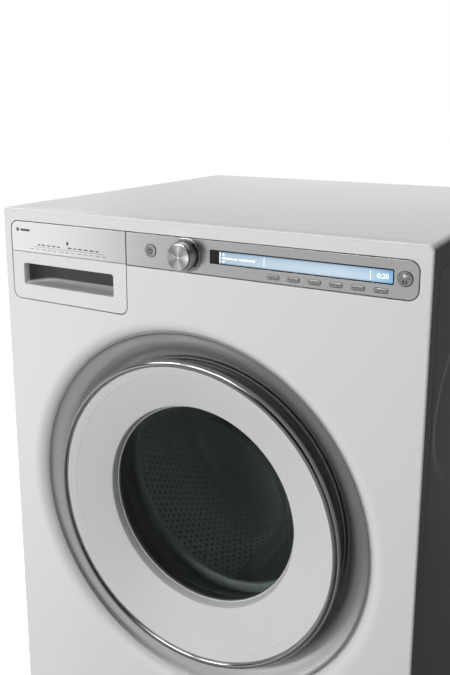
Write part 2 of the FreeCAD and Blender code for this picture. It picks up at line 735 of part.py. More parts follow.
tray = box(-272.0, 24.2, 729.0, -98.0, 262.0, 786.0)
keep(
    cut(
        tray,
        box(-269.5, 27.0, 732.0, -196.0, 259.5, 787.0),
        box(-193.5, 27.0, 732.0, -148.0, 259.5, 787.0),
        box(-145.5, 27.0, 732.0, -100.5, 259.5, 787.0),
        cyl(-122.0, 240.0, 725.0, 6.0, 10.0, "z"),
        cyl(-232.0, 240.0, 725.0, 12.0, 10.0, "z"),
    ),
    "drawer_tray",
)
keep(
    cut(
        fuse(
            box(-280.0, 26.5, 721.0, -92.0, 300.0, 812.0),
            cyl(-185.0, 299.0, 790.0, 11.0, 16.0),
        ),
        box(-276.0, 20.0, 725.0, -96.0, 296.0, 788.5),
        box(-270.0, 60.0, 793.0, -102.0, 292.0, 808.0),
        cyl(-185.0, 290.0, 800.0, 7.0, 30.0),
        *[cyl(-255.0 + 30.0 * i, 90.0 + 60.0 * j, 785.0, 2.0, 12.0, "z") for i in range(5) for j in range(3)],
        cyl(-160.0, 210.0, 715.0, 16.0, 12.0, "z"),
    ),
    "drawer_housing",
)

# ---------------------------------------------------------------- tub and drum
tr, tw, tf, tb = D["tub_radius"], D["tub_wall"], D["tub_front"], D["tub_rear"]
b = Body("tub_front_collar", z=DZ)
b.turn(
    [
        (tr, tf + 0.5), (tr, 92.0), (tr - 6, 84.0), (throat, 84.0), (throat, 94.0), (throat + 3, 94.0), (throat + 3, 87.2),
        (tr - 8, 87.2), (tr - 3, 93.0), (tr - 3, tf + 0.5),
    ]
)
collar = inner(b)
rear_half = cut(
        fuse(
            cyl(0.0, tf, DZ, tr, tb - tf),
            cyl(0.0, tf, DZ, tr + 6, 6.0),
            box(-75.0, 130.0, DZ - 276.0, 75.0, 392.0, DZ - 200.0),
            cyl(0.0, tb - 3, DZ, 78.0, 9.0),
            cyl(0.0, tb - 3, DZ, 48.0, 46.0),
            *[
                box(s_ * 186.0 - 9.0, y_ - 12.0, 262.0, s_ * 186.0 + 9.0, y_ + 12.0, 312.0)
                for s_ in (-1.0, 1.0) for y_ in (160.0, 370.0)
            ],
            *[
                box(s_ * 140.0 - 6.0, 350.0, 655.0, s_ * 140.0 + 6.0, 366.0, 716.0) for s_ in (-1.0, 1.0)
            ],
        ),
        cyl(0.0, tf - 1, DZ, tr - tw, tb - tf - tw + 1),
        box(-72.0, 133.0, DZ - 273.0, 72.0, 389.0, DZ - 200.0),
        cyl(0.0, tb - 20, DZ, 20.0, 80.0),
        cyl(0.0, tb + 6, DZ, 31.05, 50.0),
        cyl(60.0, 128.0, DZ - 262.0, 5.0, 8.0),
        cyl(40.0, 128.0, DZ - 262.0, 5.0, 8.0),
        cyl(0.0, 300.0, DZ - 280.0, 14.0, 10.0, "z"),
        cyl(-160.0, 210.0, 640.0, 15.0, 40.0, "z"),
    )
keep(fuse(rear_half, collar), "outer_tub")
sh = D["shaft_radius"]
keep(
    group(
        cut(cyl(0.0, tb + 6.1, DZ, 31.0, 14.8), cyl(0.0, tb, DZ, sh + 0.02, 40.0)),
        cut(cyl(0.0, tb + 26.1, DZ, 31.0, 14.8), cyl(0.0, tb + 20, DZ, sh + 0.02, 40.0)),
    ),
    "drum_bearings",
)

dR, df, dk, dm = D["drum_radius"], D["drum_front"], D["drum_rear"], D["drum_mouth"]
b = Body("drum_shell", z=DZ)
b.turn(
    [
        (0.0, dk - 1.3), (48.0, dk - 1.3), (60.0, dk - 8.5), (190.0, dk - 8.5), (204.0, dk - 1.3), (dR - 1, dk - 1.3),
        (dR - 1, df + 0.6), (dR - 3.4, 98.9), (dm + 4.5, 98.9), (dm + 1.2, 101.0), (dm + 1.2, 105.0), (dm, 105.0),
        (dm, 99.5), (dm + 4, 97.6), (dR - 3, 97.6), (dR, df), (dR, dk), (203.4, dk), (189.4, dk - 7.2),
        (60.6, dk - 7.2), (48.6, dk), (0.0, dk),
    ]
)

LIFT = (30.0, 150.0, 270.0)
lifters = []
for ang in LIFT:
    body = doc.addObject("Part::Feature", fresh("Paddle"))
    pts = [V(-34, 118, -num(dR) + 4.0), V(34, 118, -num(dR) + 4.0), V(13, 128, -num(dR) + 52), V(-13, 128, -num(dR) + 52)]
    pts2 = [V(-34, 372, -num(dR) + 4.0), V(34, 372, -num(dR) + 4.0), V(13, 362, -num(dR) + 52), V(-13, 362, -num(dR) + 52)]
    w1 = Part.makePolygon(pts + [pts[0]])
    w2 = Part.makePolygon(pts2 + [pts2[0]])
    solid = Part.makeLoft([w1, w2], True, True)
    solid = solid.fuse(Part.makeBox(68, 254, 4.0, V(-34, 118, -num(dR) + 0.5)))
    ring = Part.makeCylinder(num(dR) - 1.1, 400, V(0, 0, 0), V(0, 1, 0))
    solid = solid.common(ring)
    solid.rotate(V(0, 0, 0), V(0, 1, 0), -(ang - 270.0))
    solid.translate(V(0, num(F), num(DZ)))
    where = solid.Placement
    body.Shape = solid
    body.Placement = where
    lifters.append(body)
keep(group(*lifters), "drum_lifters")

arms = [cyl(0.0, dk + 0.2, DZ, 46.0, 16.0)]
for ang in (90.0, 210.0, 330.0):
    arm = box(-20.0, dk + 0.2, DZ, 20.0, dk + 15.0, DZ + 226.0)
    turned = FreeCAD.Rotation(V(0, 1, 0), -(ang - 90.0))
    a = math.radians(ang)
    corner = turned.multVec(V(-20.0, 0, 0))
    arm.Placement = FreeCAD.Placement(V(corner.x, num(F + dk) + 0.2, num(DZ) + corner.z), turned)
    arm.setExpression("Placement.Base.x", None)
    arm.setExpression("Placement.Base.z", "Dims.door_height + (%r)" % corner.z)
    arms.append(arm)
keep(fuse(*arms, cyl(0.0, dk + 0.2, DZ, sh, 135.0)), "drum_spider_shaft")
pr, bm = D["pulley_radius"], D["belt_mid"]
spokes = [
    fuse(
        cut(cyl(0.0, bm - 10, DZ, pr, 20.0), cyl(0.0, bm - 12, DZ, pr - 8, 24.0)),
        cyl(0.0, bm - 12, DZ, 26.0, 24.0),
        box(-pr + 6, bm - 4, DZ - 10, pr - 6, bm + 4, DZ + 10),
        box(-10.0, bm - 4, DZ - pr + 6, 10.0, bm + 4, DZ + pr - 6),
    )
]
keep(cut(spokes[0], cyl(0.0, bm - 20, DZ, sh, 40.0)), "drum_pulley")

# Heater: two straight rods and a return bend in the sump, on a flange.
rad = 3.5
zc = num(DZ) - 262.0
y0, y1 = num(F) + 132.0, num(F) + 340.0
path = Part.Wire(
    [
        Part.LineSegment(V(40, y0, zc), V(40, y1, zc)).toShape(),
        Part.Arc(V(40, y1, zc), V(50, y1 + 10, zc), V(60, y1, zc)).toShape(),
        Part.LineSegment(V(60, y1, zc), V(60, y0, zc)).toShape(),
    ]
)
ring = Part.Wire([Part.Circle(V(40, y0, zc), V(0, 1, 0), rad).toShape()])
tube = path.makePipeShell([ring], True, True)
flange = Part.makeBox(38, 5, 20, V(31, num(F) + 124.6, zc - 10))
legs = [Part.makeCylinder(rad, 10, V(x_, num(F) + 124.0, zc), V(0, 1, 0)) for x_ in (40, 60)]
heater = tube.fuse([flange] + legs).removeSplitter()
feature("heating_element", heater)

# Motor under the tub, belt, dampers, springs, weights.
mx, mz = D["motor_x"], D["motor_z"]
keep(
    cut(
        fuse(
            cyl(mx, 300.0, mz, 58.0, 150.0),
            box(mx - 66.0, 330.0, mz + 40, mx - 50.0, 350.0, 190.5),
            box(mx - 66.0, 400.0, mz + 40, mx - 50.0, 420.0, 190.5),
        ),
        cyl(mx, 304.0, mz, 52.0, 142.0),
        cyl(mx, 290.0, mz, 8.05, 170.0),
    ),
    "motor_housing",
)
mp = D["motor_pulley_radius"]
keep(
    fuse(
        cyl(mx, 296.0, mz, 8.0, 210.0),
        cyl(mx, 315.0, mz, 44.0, 118.0),
        cyl(mx, bm - 10, mz, mp, 20.0),
        cyl(mx, bm - 11.5, mz, mp + 3, 1.5),
        cyl(mx, bm + 10, mz, mp + 3, 1.5),
    ),
    "motor_rotor",
)


def belt_shape():
    """Flat belt: two arcs and two outer tangents, 0.35 mm clear of the pulleys."""
    c1, c2 = V(0, 0, num(DZ)), V(num(mx), 0, num(mz))
    out = []
    for extra in (0.35, 3.35):
        ra, rb = num(pr) + extra, num(mp) + extra
        d = c2 - c1
        L = d.Length
        base = math.atan2(d.z, d.x)
        off = math.acos((ra - rb) / L)
        pts = {}
        for sgn in (1, -1):
            a = base + sgn * off
            n = V(math.cos(a), 0, math.sin(a))
            pts[sgn] = (c1 + n * ra, c2 + n * rb)
        far1 = c1 - V(math.cos(base), 0, math.sin(base)) * ra
        far2 = c2 + V(math.cos(base), 0, math.sin(base)) * rb
        wire = Part.Wire(
            [
                Part.Arc(pts[1][0], far1, pts[-1][0]).toShape(),
                Part.LineSegment(pts[-1][0], pts[-1][1]).toShape(),
                Part.Arc(pts[-1][1], far2, pts[1][1]).toShape(),
                Part.LineSegment(pts[1][1], pts[1][0]).toShape(),
            ]
        )
        out.append(wire)
    solids = [Part.Face(w).extrude(V(0, 16, 0)) for w in out]
    shape = solids[1].cut(solids[0])
    shape.translate(V(0, num(F + bm) - 8, 0))
    return shape


feature("drive_belt", belt_shape())


def rod(p, q, r, r_in=None):
    d = q - p
    s_ = Part.makeCylinder(r, d.Length, p, d)
    if r_in:
        s_ = s_.cut(Part.makeCylinder(r_in, d.Length - 6, p + d * (6 / d.Length), d))
    return s_


tubes, rods_ = [], []
for s_ in (-1.0, 1.0):
    for y_ in (160.0, 370.0):
        low_p = V(s_ * 236.0, num(F) + y_, 52.0)
        high_p = V(s_ * 190.0, num(F) + y_, 286.0)
        d = high_p - low_p
        a_ = low_p + d * 0.02
        m_ = low_p + d * 0.62
        tubes.append(
            rod(a_, m_, 13.0, 9.2).fuse(Part.makeCylinder(9.0, 22, low_p + V(0, -11, 0), V(0, 1, 0))).removeSplitter()
        )
        rods_.append(rod(low_p + d * 0.3, low_p + d * 0.86, 9.0).fuse(rod(low_p + d * 0.3, low_p + d * 0.89, 5.0)).removeSplitter())
feature("dampers", Part.makeCompound(tubes + rods_))

springs = []
for s_ in (-1.0, 1.0):
    x_ = s_ * 140.0
    start = V(x_, num(F) + 358.0, 717.5)
    helix = Part.makeHelix(6.0, 66.0, 9.0)
    helix.translate(V(start.x, start.y, start.z))
    prof = Part.Wire([Part.Circle(V(start.x + 9.0, start.y, start.z), V(0, 1, 0), 1.4).toShape()])
    coil = Part.Wire(helix.Edges).makePipeShell([prof], True, True)
    springs.append(coil)
feature("suspension_springs", Part.makeCompound(springs))

keep(
    cut(box(-82.0, 130.0, 690.0, 210.0, 330.0, 772.0), cyl(0.0, 100.0, DZ, tr + 0.4, 260.0), box(100.0, 225.0, 660.0, 240.0, 290.0, 780.0)),
    "top_counterweight",
)

# ---------------------------------------------------------------- water system
keep(
    cut(
        fuse(
            cyl(170.0, 30.0, 96.0, 33.0, 70.0),
            cyl(170.0, 99.0, 96.0, 26.0, 50.0),
            box(150.0, 60.0, 42.0, 190.0, 120.0, 70.0),
            cyl(110.0, 80.0, 96.0, 12.0, 40.0, "x"),
            cyl(170.0, 130.0, 100.0, 10.0, 52.0, "z"),
        ),
        cyl(170.0, 25.0, 96.0, 29.0, 66.0),
        cyl(105.0, 80.0, 96.0, 9.0, 40.0, "x"),
    ),
    "drain_pump",
)
keep(
    cut(
        fuse(
            cyl(170.0, 21.0, 96.0, 31.0, 9.0),
            cyl(170.0, 30.0, 96.0, 28.4, 36.0),
            box(166.0, 12.0, 70.0, 174.0, 21.1, 122.0),
        ),
        cyl(170.0, 34.0, 96.0, 25.5, 40.0),
        box(165.0, 40.0, 60.0, 175.0, 58.0, 130.0),
    ),
    "pump_filter",
)
b = Body("service_flap")
b.pad("XZ", 0.4, 2.4, rounded(119.0, 49.0, 221.0, 149.0, 3.4))
b.pad("XZ", 2.3, 7.0, rect(140.0, 52.0, 200.0, 55.0))


def hose(name, points, r_out, r_in, bend):
    """Hose through points: straight runs joined by tangent arcs."""
    pts = [V(x_, num(F) + y_, z_) for x_, y_, z_ in points]
    edges, at = [], pts[0]
    for k in range(1, len(pts) - 1):
        a_, p_, c_ = pts[k - 1], pts[k], pts[k + 1]
        u = (a_ - p_).normalize()
        w = (c_ - p_).normalize()
        angle = u.getAngle(w)
        t_len = bend / math.tan(angle / 2)
        s1, s2 = p_ + u * t_len, p_ + w * t_len
        bis = (u + w).normalize()
        centre = p_ + bis * (bend / math.sin(angle / 2))
        mid = centre - bis * bend
        edges.append(Part.LineSegment(at, s1).toShape())
        edges.append(Part.Arc(s1, mid, s2).toShape())
        at = s2
    edges.append(Part.LineSegment(at, pts[-1]).toShape())
    path_ = Part.Wire(edges)
    tan = (pts[1] - pts[0]).normalize()
    rings = []
    for rr in (r_out, r_in):
        c_ = Part.Wire([Part.Circle(pts[0], tan, rr).toShape()])
        rings.append(path_.makePipeShell([c_], True, True))
    return feature(name, rings[0].cut(rings[1]))


hose("sump_hose", [(0.0, 300.0, 189.0), (0.0, 300.0, 130.0), (0.0, 80.0, 96.0), (109.0, 80.0, 96.0)], 15.0, 12.2, 30.0)

ir = D["inlet_radius"]
keep(
    cut(
        fuse(
            cyl(205.0, 560.0, 770.0, ir, 24.4),
            box(183.0, 545.0, 750.0, 227.0, 566.0, 792.0),
            cyl(205.0, 530.5, 772.0, 8.0, 16.0),
            cyl(205.0, 555.5, 790.0, 10.0, 20.0, "z"),
        ),
        cyl(205.0, 575.0, 770.0, 8.0, 15.0),
    ),
    "inlet_valve",
)
keep(
    cut(
        fuse(
            cyl(-215.0, 545.5, 700.0, D["drain_radius"], 39.0),
            cyl(-215.0, 558.0, 700.0, 16.5, 4.0),
            box(-232.0, 558.0, 690.0, -198.0, 562.0, 710.0),
            box(-232.0, 558.0, 690.0, -229.0, 577.9, 710.0),
            box(-201.0, 558.0, 690.0, -198.0, 577.9, 710.0),
        ),
        cyl(-215.0, 540.0, 700.0, 7.5, 50.0),
    ),
    "drain_outlet",
)
keep(
    cut(
        fuse(cyl(-235.0, 572.0, 765.0, 13.0, 12.6), cyl(-235.0, 579.5, 765.0, 17.0, 3.0)),
        cyl(-235.0, 570.0, 765.0, 4.2, 20.0),
    ),
    "power_inlet_gland",
)
# ---------------------------------------------------------------- feet and fasteners
k = 0
for fy in (D["foot_front"], D["foot_rear"]):
    for s_ in (-1.0, 1.0):
        k += 1
        b = Body("levelling_foot_%d" % k, x=s_ * D["foot_x"], y=fy)
        fr = D["foot_radius"]
        b.turn_z([(0.0, 0.0), (fr - 2, 0.0), (fr, 2.0), (fr - 1, 8.0), (fr - 8, 12.0), (9.0, 12.0), (9.0, 17.0), (5.0, 17.0), (5.0, 62.0), (0.0, 62.0)])
keep(
    group(
        *[fuse(cyl(x_, rp_y + 2.6, z_, 4.0, 2.0), cyl(x_, rp_y - 8.0, z_, 1.8, 10.7)) for x_, z_ in COVER_SCREWS],
        *[
            fuse(cyl(x_, rp_y + 1.2, z_, 4.0, 2.0), cyl(x_, rp_y - 8.0, z_, 1.8, 9.3))
            for x_, z_ in SHEET_SCREWS
        ],
    ),
    "rear_screws",
)
# ---------------------------------------------------------------- checks and export
doc.recompute()
for obj in doc.Objects:
    state = list(obj.State)
    if "Invalid" in state or "Error" in state:
        raise RuntimeError(
            "failed object: %s %s %s in %s" % (obj.Name, obj.Label, state, [p.Label for p in obj.InList])
        )

os.makedirs("parts", exist_ok=True)
seen = set()
for name, obj in PARTS:
    shape = obj.Shape
    if shape.isNull() or not shape.isValid():
        raise RuntimeError("bad shape: " + name)
    if not shape.Solids:
        raise RuntimeError("no solid: " + name)
    if name in seen:
        raise RuntimeError("name used twice: " + name)
    seen.add(name)
    if len(name) > 59:
        raise RuntimeError("name too long: " + name)
for name, obj in PARTS:
    obj.Shape.exportStep(os.path.join("parts", name + ".step"))
    print("%-24s solids %2d  volume %10.1f" % (name, len(obj.Shape.Solids), obj.Shape.Volume))
print(len(PARTS), "nodes")
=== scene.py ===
import math

import bpy
import bmesh
from mathutils import Matrix, Vector
from mathutils.geometry import delaunay_2d_cdt

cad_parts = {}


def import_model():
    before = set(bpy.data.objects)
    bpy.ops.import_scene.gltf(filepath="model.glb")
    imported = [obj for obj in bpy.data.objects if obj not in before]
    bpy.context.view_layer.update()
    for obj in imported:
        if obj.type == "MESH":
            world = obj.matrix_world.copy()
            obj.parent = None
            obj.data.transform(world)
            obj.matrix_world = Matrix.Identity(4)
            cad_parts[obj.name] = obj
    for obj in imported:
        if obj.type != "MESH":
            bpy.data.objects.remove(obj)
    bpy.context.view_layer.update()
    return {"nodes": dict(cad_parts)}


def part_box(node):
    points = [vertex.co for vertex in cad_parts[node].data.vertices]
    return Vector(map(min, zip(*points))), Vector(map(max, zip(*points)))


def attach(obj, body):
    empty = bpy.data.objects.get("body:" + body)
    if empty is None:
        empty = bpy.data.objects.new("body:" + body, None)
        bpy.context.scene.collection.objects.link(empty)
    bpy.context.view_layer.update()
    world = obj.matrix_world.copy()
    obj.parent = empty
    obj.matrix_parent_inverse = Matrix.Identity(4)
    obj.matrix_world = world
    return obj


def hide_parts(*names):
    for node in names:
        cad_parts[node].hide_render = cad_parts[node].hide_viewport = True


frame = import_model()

NODES = frame["nodes"]
Y0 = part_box("front_panel")[0].y                      # plane of the front sheet
_lo, _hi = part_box("door_bezel")
DX, DZ = (_lo.x + _hi.x) * 500, (_lo.z + _hi.z) * 500   # door centre, mm
_lo, _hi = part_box("program_knob")
KX, KZ = (_lo.x + _hi.x) * 500, (_lo.z + _hi.z) * 500   # knob centre, mm


def P(x, y, z):
    """x, depth behind the front sheet and height in mm, as a point of the frame in metres"""
    return Vector((x * 0.001, Y0 + y * 0.001, z * 0.001))


# ------------------------------------------------------------------ node helpers
def new_mat(name):
    m = bpy.data.materials.new(name)
    m.use_nodes = True
    nt = m.node_tree
    nt.nodes.clear()
    out = nt.nodes.new("ShaderNodeOutputMaterial")
    return m, nt, out


def add(nt, kind, **values):
    n = nt.nodes.new(kind)
    for key, value in values.items():
        if key.startswith("_"):
            setattr(n, key[1:], value)
        else:
            n.inputs[key.replace("__", " ")].default_value = value
    return n


def coords(nt, scale=(1, 1, 1), location=(0, 0, 0), rotation=(0, 0, 0)):
    tc = nt.nodes.new("ShaderNodeTexCoord")
    mp = nt.nodes.new("ShaderNodeMapping")
    mp.inputs["Scale"].default_value = scale
    mp.inputs["Location"].default_value = location
    mp.inputs["Rotation"].default_value = rotation
    nt.links.new(tc.outputs["Object"], mp.inputs["Vector"])
    return mp.outputs["Vector"]


def noise(nt, vector, scale, detail=3.0, rough=0.55):
    n = add(nt, "ShaderNodeTexNoise", Scale=scale, Detail=detail, Roughness=rough)
    nt.links.new(vector, n.inputs["Vector"])
    return n.outputs["Fac"]


def ramp(nt, source, stops, interpolation="LINEAR"):
    r = nt.nodes.new("ShaderNodeValToRGB")
    r.color_ramp.interpolation = interpolation
    e = r.color_ramp.elements
    while len(e) > 1:
        e.remove(e[-1])
    e[0].position, e[0].color = stops[0][0], (*stops[0][1], 1)
    for position, colour in stops[1:]:
        x = e.new(position)
        x.color = (*colour, 1)
    nt.links.new(source, r.inputs["Fac"])
    return r.outputs["Color"]


def remap(nt, source, a, b, c, d):
    m = nt.nodes.new("ShaderNodeMapRange")
    for i, v in zip(("From Min", "From Max", "To Min", "To Max"), (a, b, c, d)):
        m.inputs[i].default_value = v
    nt.links.new(source, m.inputs["Value"])
    return m.outputs["Result"]


def calc(nt, op, a, b=None, c=None):
    m = nt.nodes.new("ShaderNodeMath")
    m.operation = op
    for i, v in enumerate((a, b, c)):
        if v is None:
            continue
        if isinstance(v, (int, float)):
            m.inputs[i].default_value = v
        else:
            nt.links.new(v, m.inputs[i])
    return m.outputs[0]


def bump(nt, heights, shader):
    """heights: (source, strength, distance in m), chained"""
    last = None
    for source, strength, distance in heights:
        b = nt.nodes.new("ShaderNodeBump")
        b.inputs["Strength"].default_value = strength
        b.inputs["Distance"].default_value = distance
        nt.links.new(source, b.inputs["Height"])
        if last is not None:
            nt.links.new(last, b.inputs["Normal"])
        last = b.outputs["Normal"]
    nt.links.new(last, shader.inputs["Normal"])


def finish_mat(nt, shader, out):
    nt.links.new(shader.outputs[0], out.inputs["Surface"])


def tint(c, k):
    return tuple(max(0.0, min(1.0, x * k)) for x in c)


def painted(name, colour, rough, spread=0.02, coat=0.0, coat_rough=0.1, peel=0.03, grain=600.0, specular=0.5, uneven=0.04):
    """Enamel, lacquer or moulded plastic: cloudy colour, uneven gloss and a fine surface"""
    m, nt, out = new_mat(name)
    p = add(nt, "ShaderNodeBsdfPrincipled", **{"Coat Weight": coat, "Coat Roughness": coat_rough, "Specular IOR Level": specular})
    v = coords(nt)
    cloud = noise(nt, v, 3.0, 4.0)
    nt.links.new(ramp(nt, cloud, [(0.3, tint(colour, 1 - spread)), (0.7, tint(colour, 1 + spread))]), p.inputs["Base Color"])
    smear = noise(nt, v, 14.0, 3.0)
    nt.links.new(remap(nt, smear, 0.3, 0.7, rough * (1 - uneven), rough * (1 + uneven)), p.inputs["Roughness"])
    bump(nt, [(noise(nt, v, grain, 2.0), peel, 0.0004)], p)
    finish_mat(nt, p, out)
    return m


def moulded(name, colour, rough, grain=1800.0, depth=0.12, spread=0.05):
    """Textured plastic or rubber"""
    m, nt, out = new_mat(name)
    p = add(nt, "ShaderNodeBsdfPrincipled")
    v = coords(nt)
    nt.links.new(ramp(nt, noise(nt, v, 25.0, 5.0), [(0.3, tint(colour, 1 - spread)), (0.7, tint(colour, 1 + spread))]), p.inputs["Base Color"])
    nt.links.new(remap(nt, noise(nt, v, 60.0), 0.3, 0.7, rough * 0.85, min(1.0, rough * 1.15)), p.inputs["Roughness"])
    bump(nt, [(noise(nt, v, grain, 2.0), depth, 0.0004)], p)
    finish_mat(nt, p, out)
    return m


def brushed(name, colour, rough, stretch=(3, 3, 1500), depth=0.06, spread=0.10, radial=False, anisotropic=0.0, centre=None, coat=0.0, painted_sheen=0.0):
    """Metal with drawn lines along one direction, or turned rings about the Y axis when radial; painted_sheen paints
    bright and dark wedges about the centre into its colour, a painted reflection of the turned face
    """
    m, nt, out = new_mat(name)
    p = add(nt, "ShaderNodeBsdfPrincipled", Metallic=1.0, Anisotropic=anisotropic, **{"Coat Weight": coat})
    if radial:
        tc = nt.nodes.new("ShaderNodeTexCoord")
        sep = nt.nodes.new("ShaderNodeSeparateXYZ")
        nt.links.new(tc.outputs["Object"], sep.inputs[0])
        dx = calc(nt, "SUBTRACT", sep.outputs["X"], centre[0] * 0.001)
        dz = calc(nt, "SUBTRACT", sep.outputs["Z"], centre[1] * 0.001)
        r = calc(nt, "SQRT", calc(nt, "ADD", calc(nt, "MULTIPLY", dx, dx), calc(nt, "MULTIPLY", dz, dz)))
        comb = nt.nodes.new("ShaderNodeCombineXYZ")
        nt.links.new(calc(nt, "MULTIPLY", r, stretch[2]), comb.inputs["X"])
        nt.links.new(calc(nt, "MULTIPLY", sep.outputs["Y"], stretch[2]), comb.inputs["Y"])
        ang = calc(nt, "ARCTAN2", dz, dx)
        nt.links.new(calc(nt, "MULTIPLY", calc(nt, "SINE", ang), 1.5), comb.inputs["Z"])
        v = comb.outputs[0]
        lines = noise(nt, v, 1.0, 3.0)
        t = nt.nodes.new("ShaderNodeTangent")
        t.direction_type, t.axis = "RADIAL", "Y"
        nt.links.new(t.outputs[0], p.inputs["Tangent"])
    else:
        v = coords(nt, scale=stretch)
        lines = noise(nt, v, 1.0, 4.0)
    shade = ramp(nt, lines, [(0.25, tint(colour, 1 - spread)), (0.75, tint(colour, 1 + spread))])
    # painted sheen: four bright and dark wedges by angle about the centre stand in for the reflection of the turned
    # metal
    if painted_sheen:
        sheen_wedges = calc(nt, "COSINE", calc(nt, "MULTIPLY", ang, 4.0))
        sheen_jitter = calc(nt, "MULTIPLY", calc(nt, "SINE", calc(nt, "MULTIPLY_ADD", ang, 9.0, 1.0)), 0.25)
        scale = nt.nodes.new("ShaderNodeVectorMath")
        scale.operation = "SCALE"
        nt.links.new(shade, scale.inputs[0])
        nt.links.new(remap(nt, calc(nt, "ADD", sheen_wedges, sheen_jitter), -0.7, 1.1, 1.0 - painted_sheen, 1.0 + 0.5 * painted_sheen), scale.inputs["Scale"])
        shade = scale.outputs[0]
    nt.links.new(shade, p.inputs["Base Color"])
    nt.links.new(remap(nt, lines, 0.25, 0.75, rough * 0.85, rough * 1.15), p.inputs["Roughness"])
    bump(nt, [(lines, depth, 0.0002)], p)
    finish_mat(nt, p, out)
    return m


def metal(name, colour, rough, spread=0.06, scale=40.0, depth=0.02, metallic=1.0, uneven=0.2):
    m, nt, out = new_mat(name)
    p = add(nt, "ShaderNodeBsdfPrincipled", Metallic=metallic)
    v = coords(nt)
    patch = noise(nt, v, scale, 4.0)
    nt.links.new(ramp(nt, patch, [(0.3, tint(colour, 1 - spread)), (0.7, tint(colour, 1 + spread))]), p.inputs["Base Color"])
    nt.links.new(remap(nt, noise(nt, v, scale * 3.1), 0.3, 0.7, rough * (1 - uneven), rough * (1 + uneven)), p.inputs["Roughness"])
    bump(nt, [(noise(nt, v, scale * 20.0, 2.0), depth, 0.0003)], p)
    finish_mat(nt, p, out)
    return m


def grip_with_painted_shade(name, light, dark):
    """Moulding that is white outside and along the sloping floor of its grip; deeper in, the colour turns near black,
    which is painted shade of the deep pocket
    """
    m, nt, out = new_mat(name)
    p = add(nt, "ShaderNodeBsdfPrincipled")
    tc = nt.nodes.new("ShaderNodeTexCoord")
    sep = nt.nodes.new("ShaderNodeSeparateXYZ")
    nt.links.new(tc.outputs["Object"], sep.inputs[0])
    depth = calc(nt, "MULTIPLY", calc(nt, "SUBTRACT", sep.outputs["Y"], Y0), 1000.0)
    height = calc(nt, "SUBTRACT", calc(nt, "MULTIPLY", sep.outputs["Z"], 1000.0), calc(nt, "MULTIPLY_ADD", depth, 0.24, 745.0))
    # painted shade: the mask grows with depth behind the front and with height above the sloping floor, and ends at the
    # pocket's back
    inner = calc(nt, "MULTIPLY", remap(nt, depth, 1.4, 6.5, 0.0, 1.0), remap(nt, height, -0.6, 3.5, 0.0, 1.0))
    inner = calc(nt, "MULTIPLY", inner, remap(nt, depth, 22.5, 23.0, 1.0, 0.0))
    cloud = noise(nt, coords(nt), 30.0, 3.0)
    mix = nt.nodes.new("ShaderNodeMix")
    mix.data_type = "RGBA"
    nt.links.new(inner, mix.inputs["Factor"])
    nt.links.new(ramp(nt, cloud, [(0.3, tint(light, 0.99)), (0.7, tint(light, 1.01))]), mix.inputs[6])
    nt.links.new(ramp(nt, cloud, [(0.3, tint(dark, 0.9)), (0.7, tint(dark, 1.1))]), mix.inputs[7])
    nt.links.new(mix.outputs[2], p.inputs["Base Color"])
    nt.links.new(remap(nt, cloud, 0.3, 0.7, 0.33, 0.38), p.inputs["Roughness"])
    bump(nt, [(noise(nt, coords(nt), 900.0, 2.0), 0.04, 0.0004)], p)
    finish_mat(nt, p, out)
    return m


def spangled(name):
    """Hot-dip galvanised sheet"""
    m, nt, out = new_mat(name)
    p = add(nt, "ShaderNodeBsdfPrincipled", Metallic=0.9)
    v = coords(nt)
    warp = nt.nodes.new("ShaderNodeTexVoronoi")
    warp.inputs["Scale"].default_value = 90.0
    nt.links.new(v, warp.inputs["Vector"])
    grey = ramp(nt, calc(nt, "FRACT", calc(nt, "MULTIPLY", remap(nt, noise(nt, v, 33.0, 1.0), 0, 1, 0, 1), 3.0)), [(0.0, (0.42, 0.43, 0.44)), (1.0, (0.55, 0.56, 0.57))])
    cell = nt.nodes.new("ShaderNodeMix")
    cell.data_type = "RGBA"
    cell.blend_type = "MULTIPLY"
    cell.inputs["Factor"].default_value = 0.35
    nt.links.new(grey, cell.inputs[6])
    nt.links.new(ramp(nt, warp.outputs["Distance"], [(0.0, (1, 1, 1)), (1.0, (0.72, 0.73, 0.75))]), cell.inputs[7])
    nt.links.new(cell.outputs[2], p.inputs["Base Color"])
    nt.links.new(remap(nt, warp.outputs["Distance"], 0, 1, 0.34, 0.5), p.inputs["Roughness"])
    bump(nt, [(warp.outputs["Distance"], 0.03, 0.0004)], p)
    finish_mat(nt, p, out)
    return m


def grey_stone(name):
    m, nt, out = new_mat(name)
    p = add(nt, "ShaderNodeBsdfPrincipled")
    v = coords(nt)
    nt.links.new(ramp(nt, noise(nt, v, 55.0, 8.0, 0.7), [(0.3, (0.20, 0.195, 0.185)), (0.55, (0.36, 0.355, 0.34)), (0.75, (0.48, 0.47, 0.45))]), p.inputs["Base Color"])
    nt.links.new(remap(nt, noise(nt, v, 120.0), 0.3, 0.7, 0.8, 0.95), p.inputs["Roughness"])
    pits = nt.nodes.new("ShaderNodeTexVoronoi")
    pits.inputs["Scale"].default_value = 140.0
    nt.links.new(v, pits.inputs["Vector"])
    bump(nt, [(pits.outputs["Distance"], 0.3, 0.001), (noise(nt, v, 400.0), 0.3, 0.0006)], p)
    finish_mat(nt, p, out)
    return m


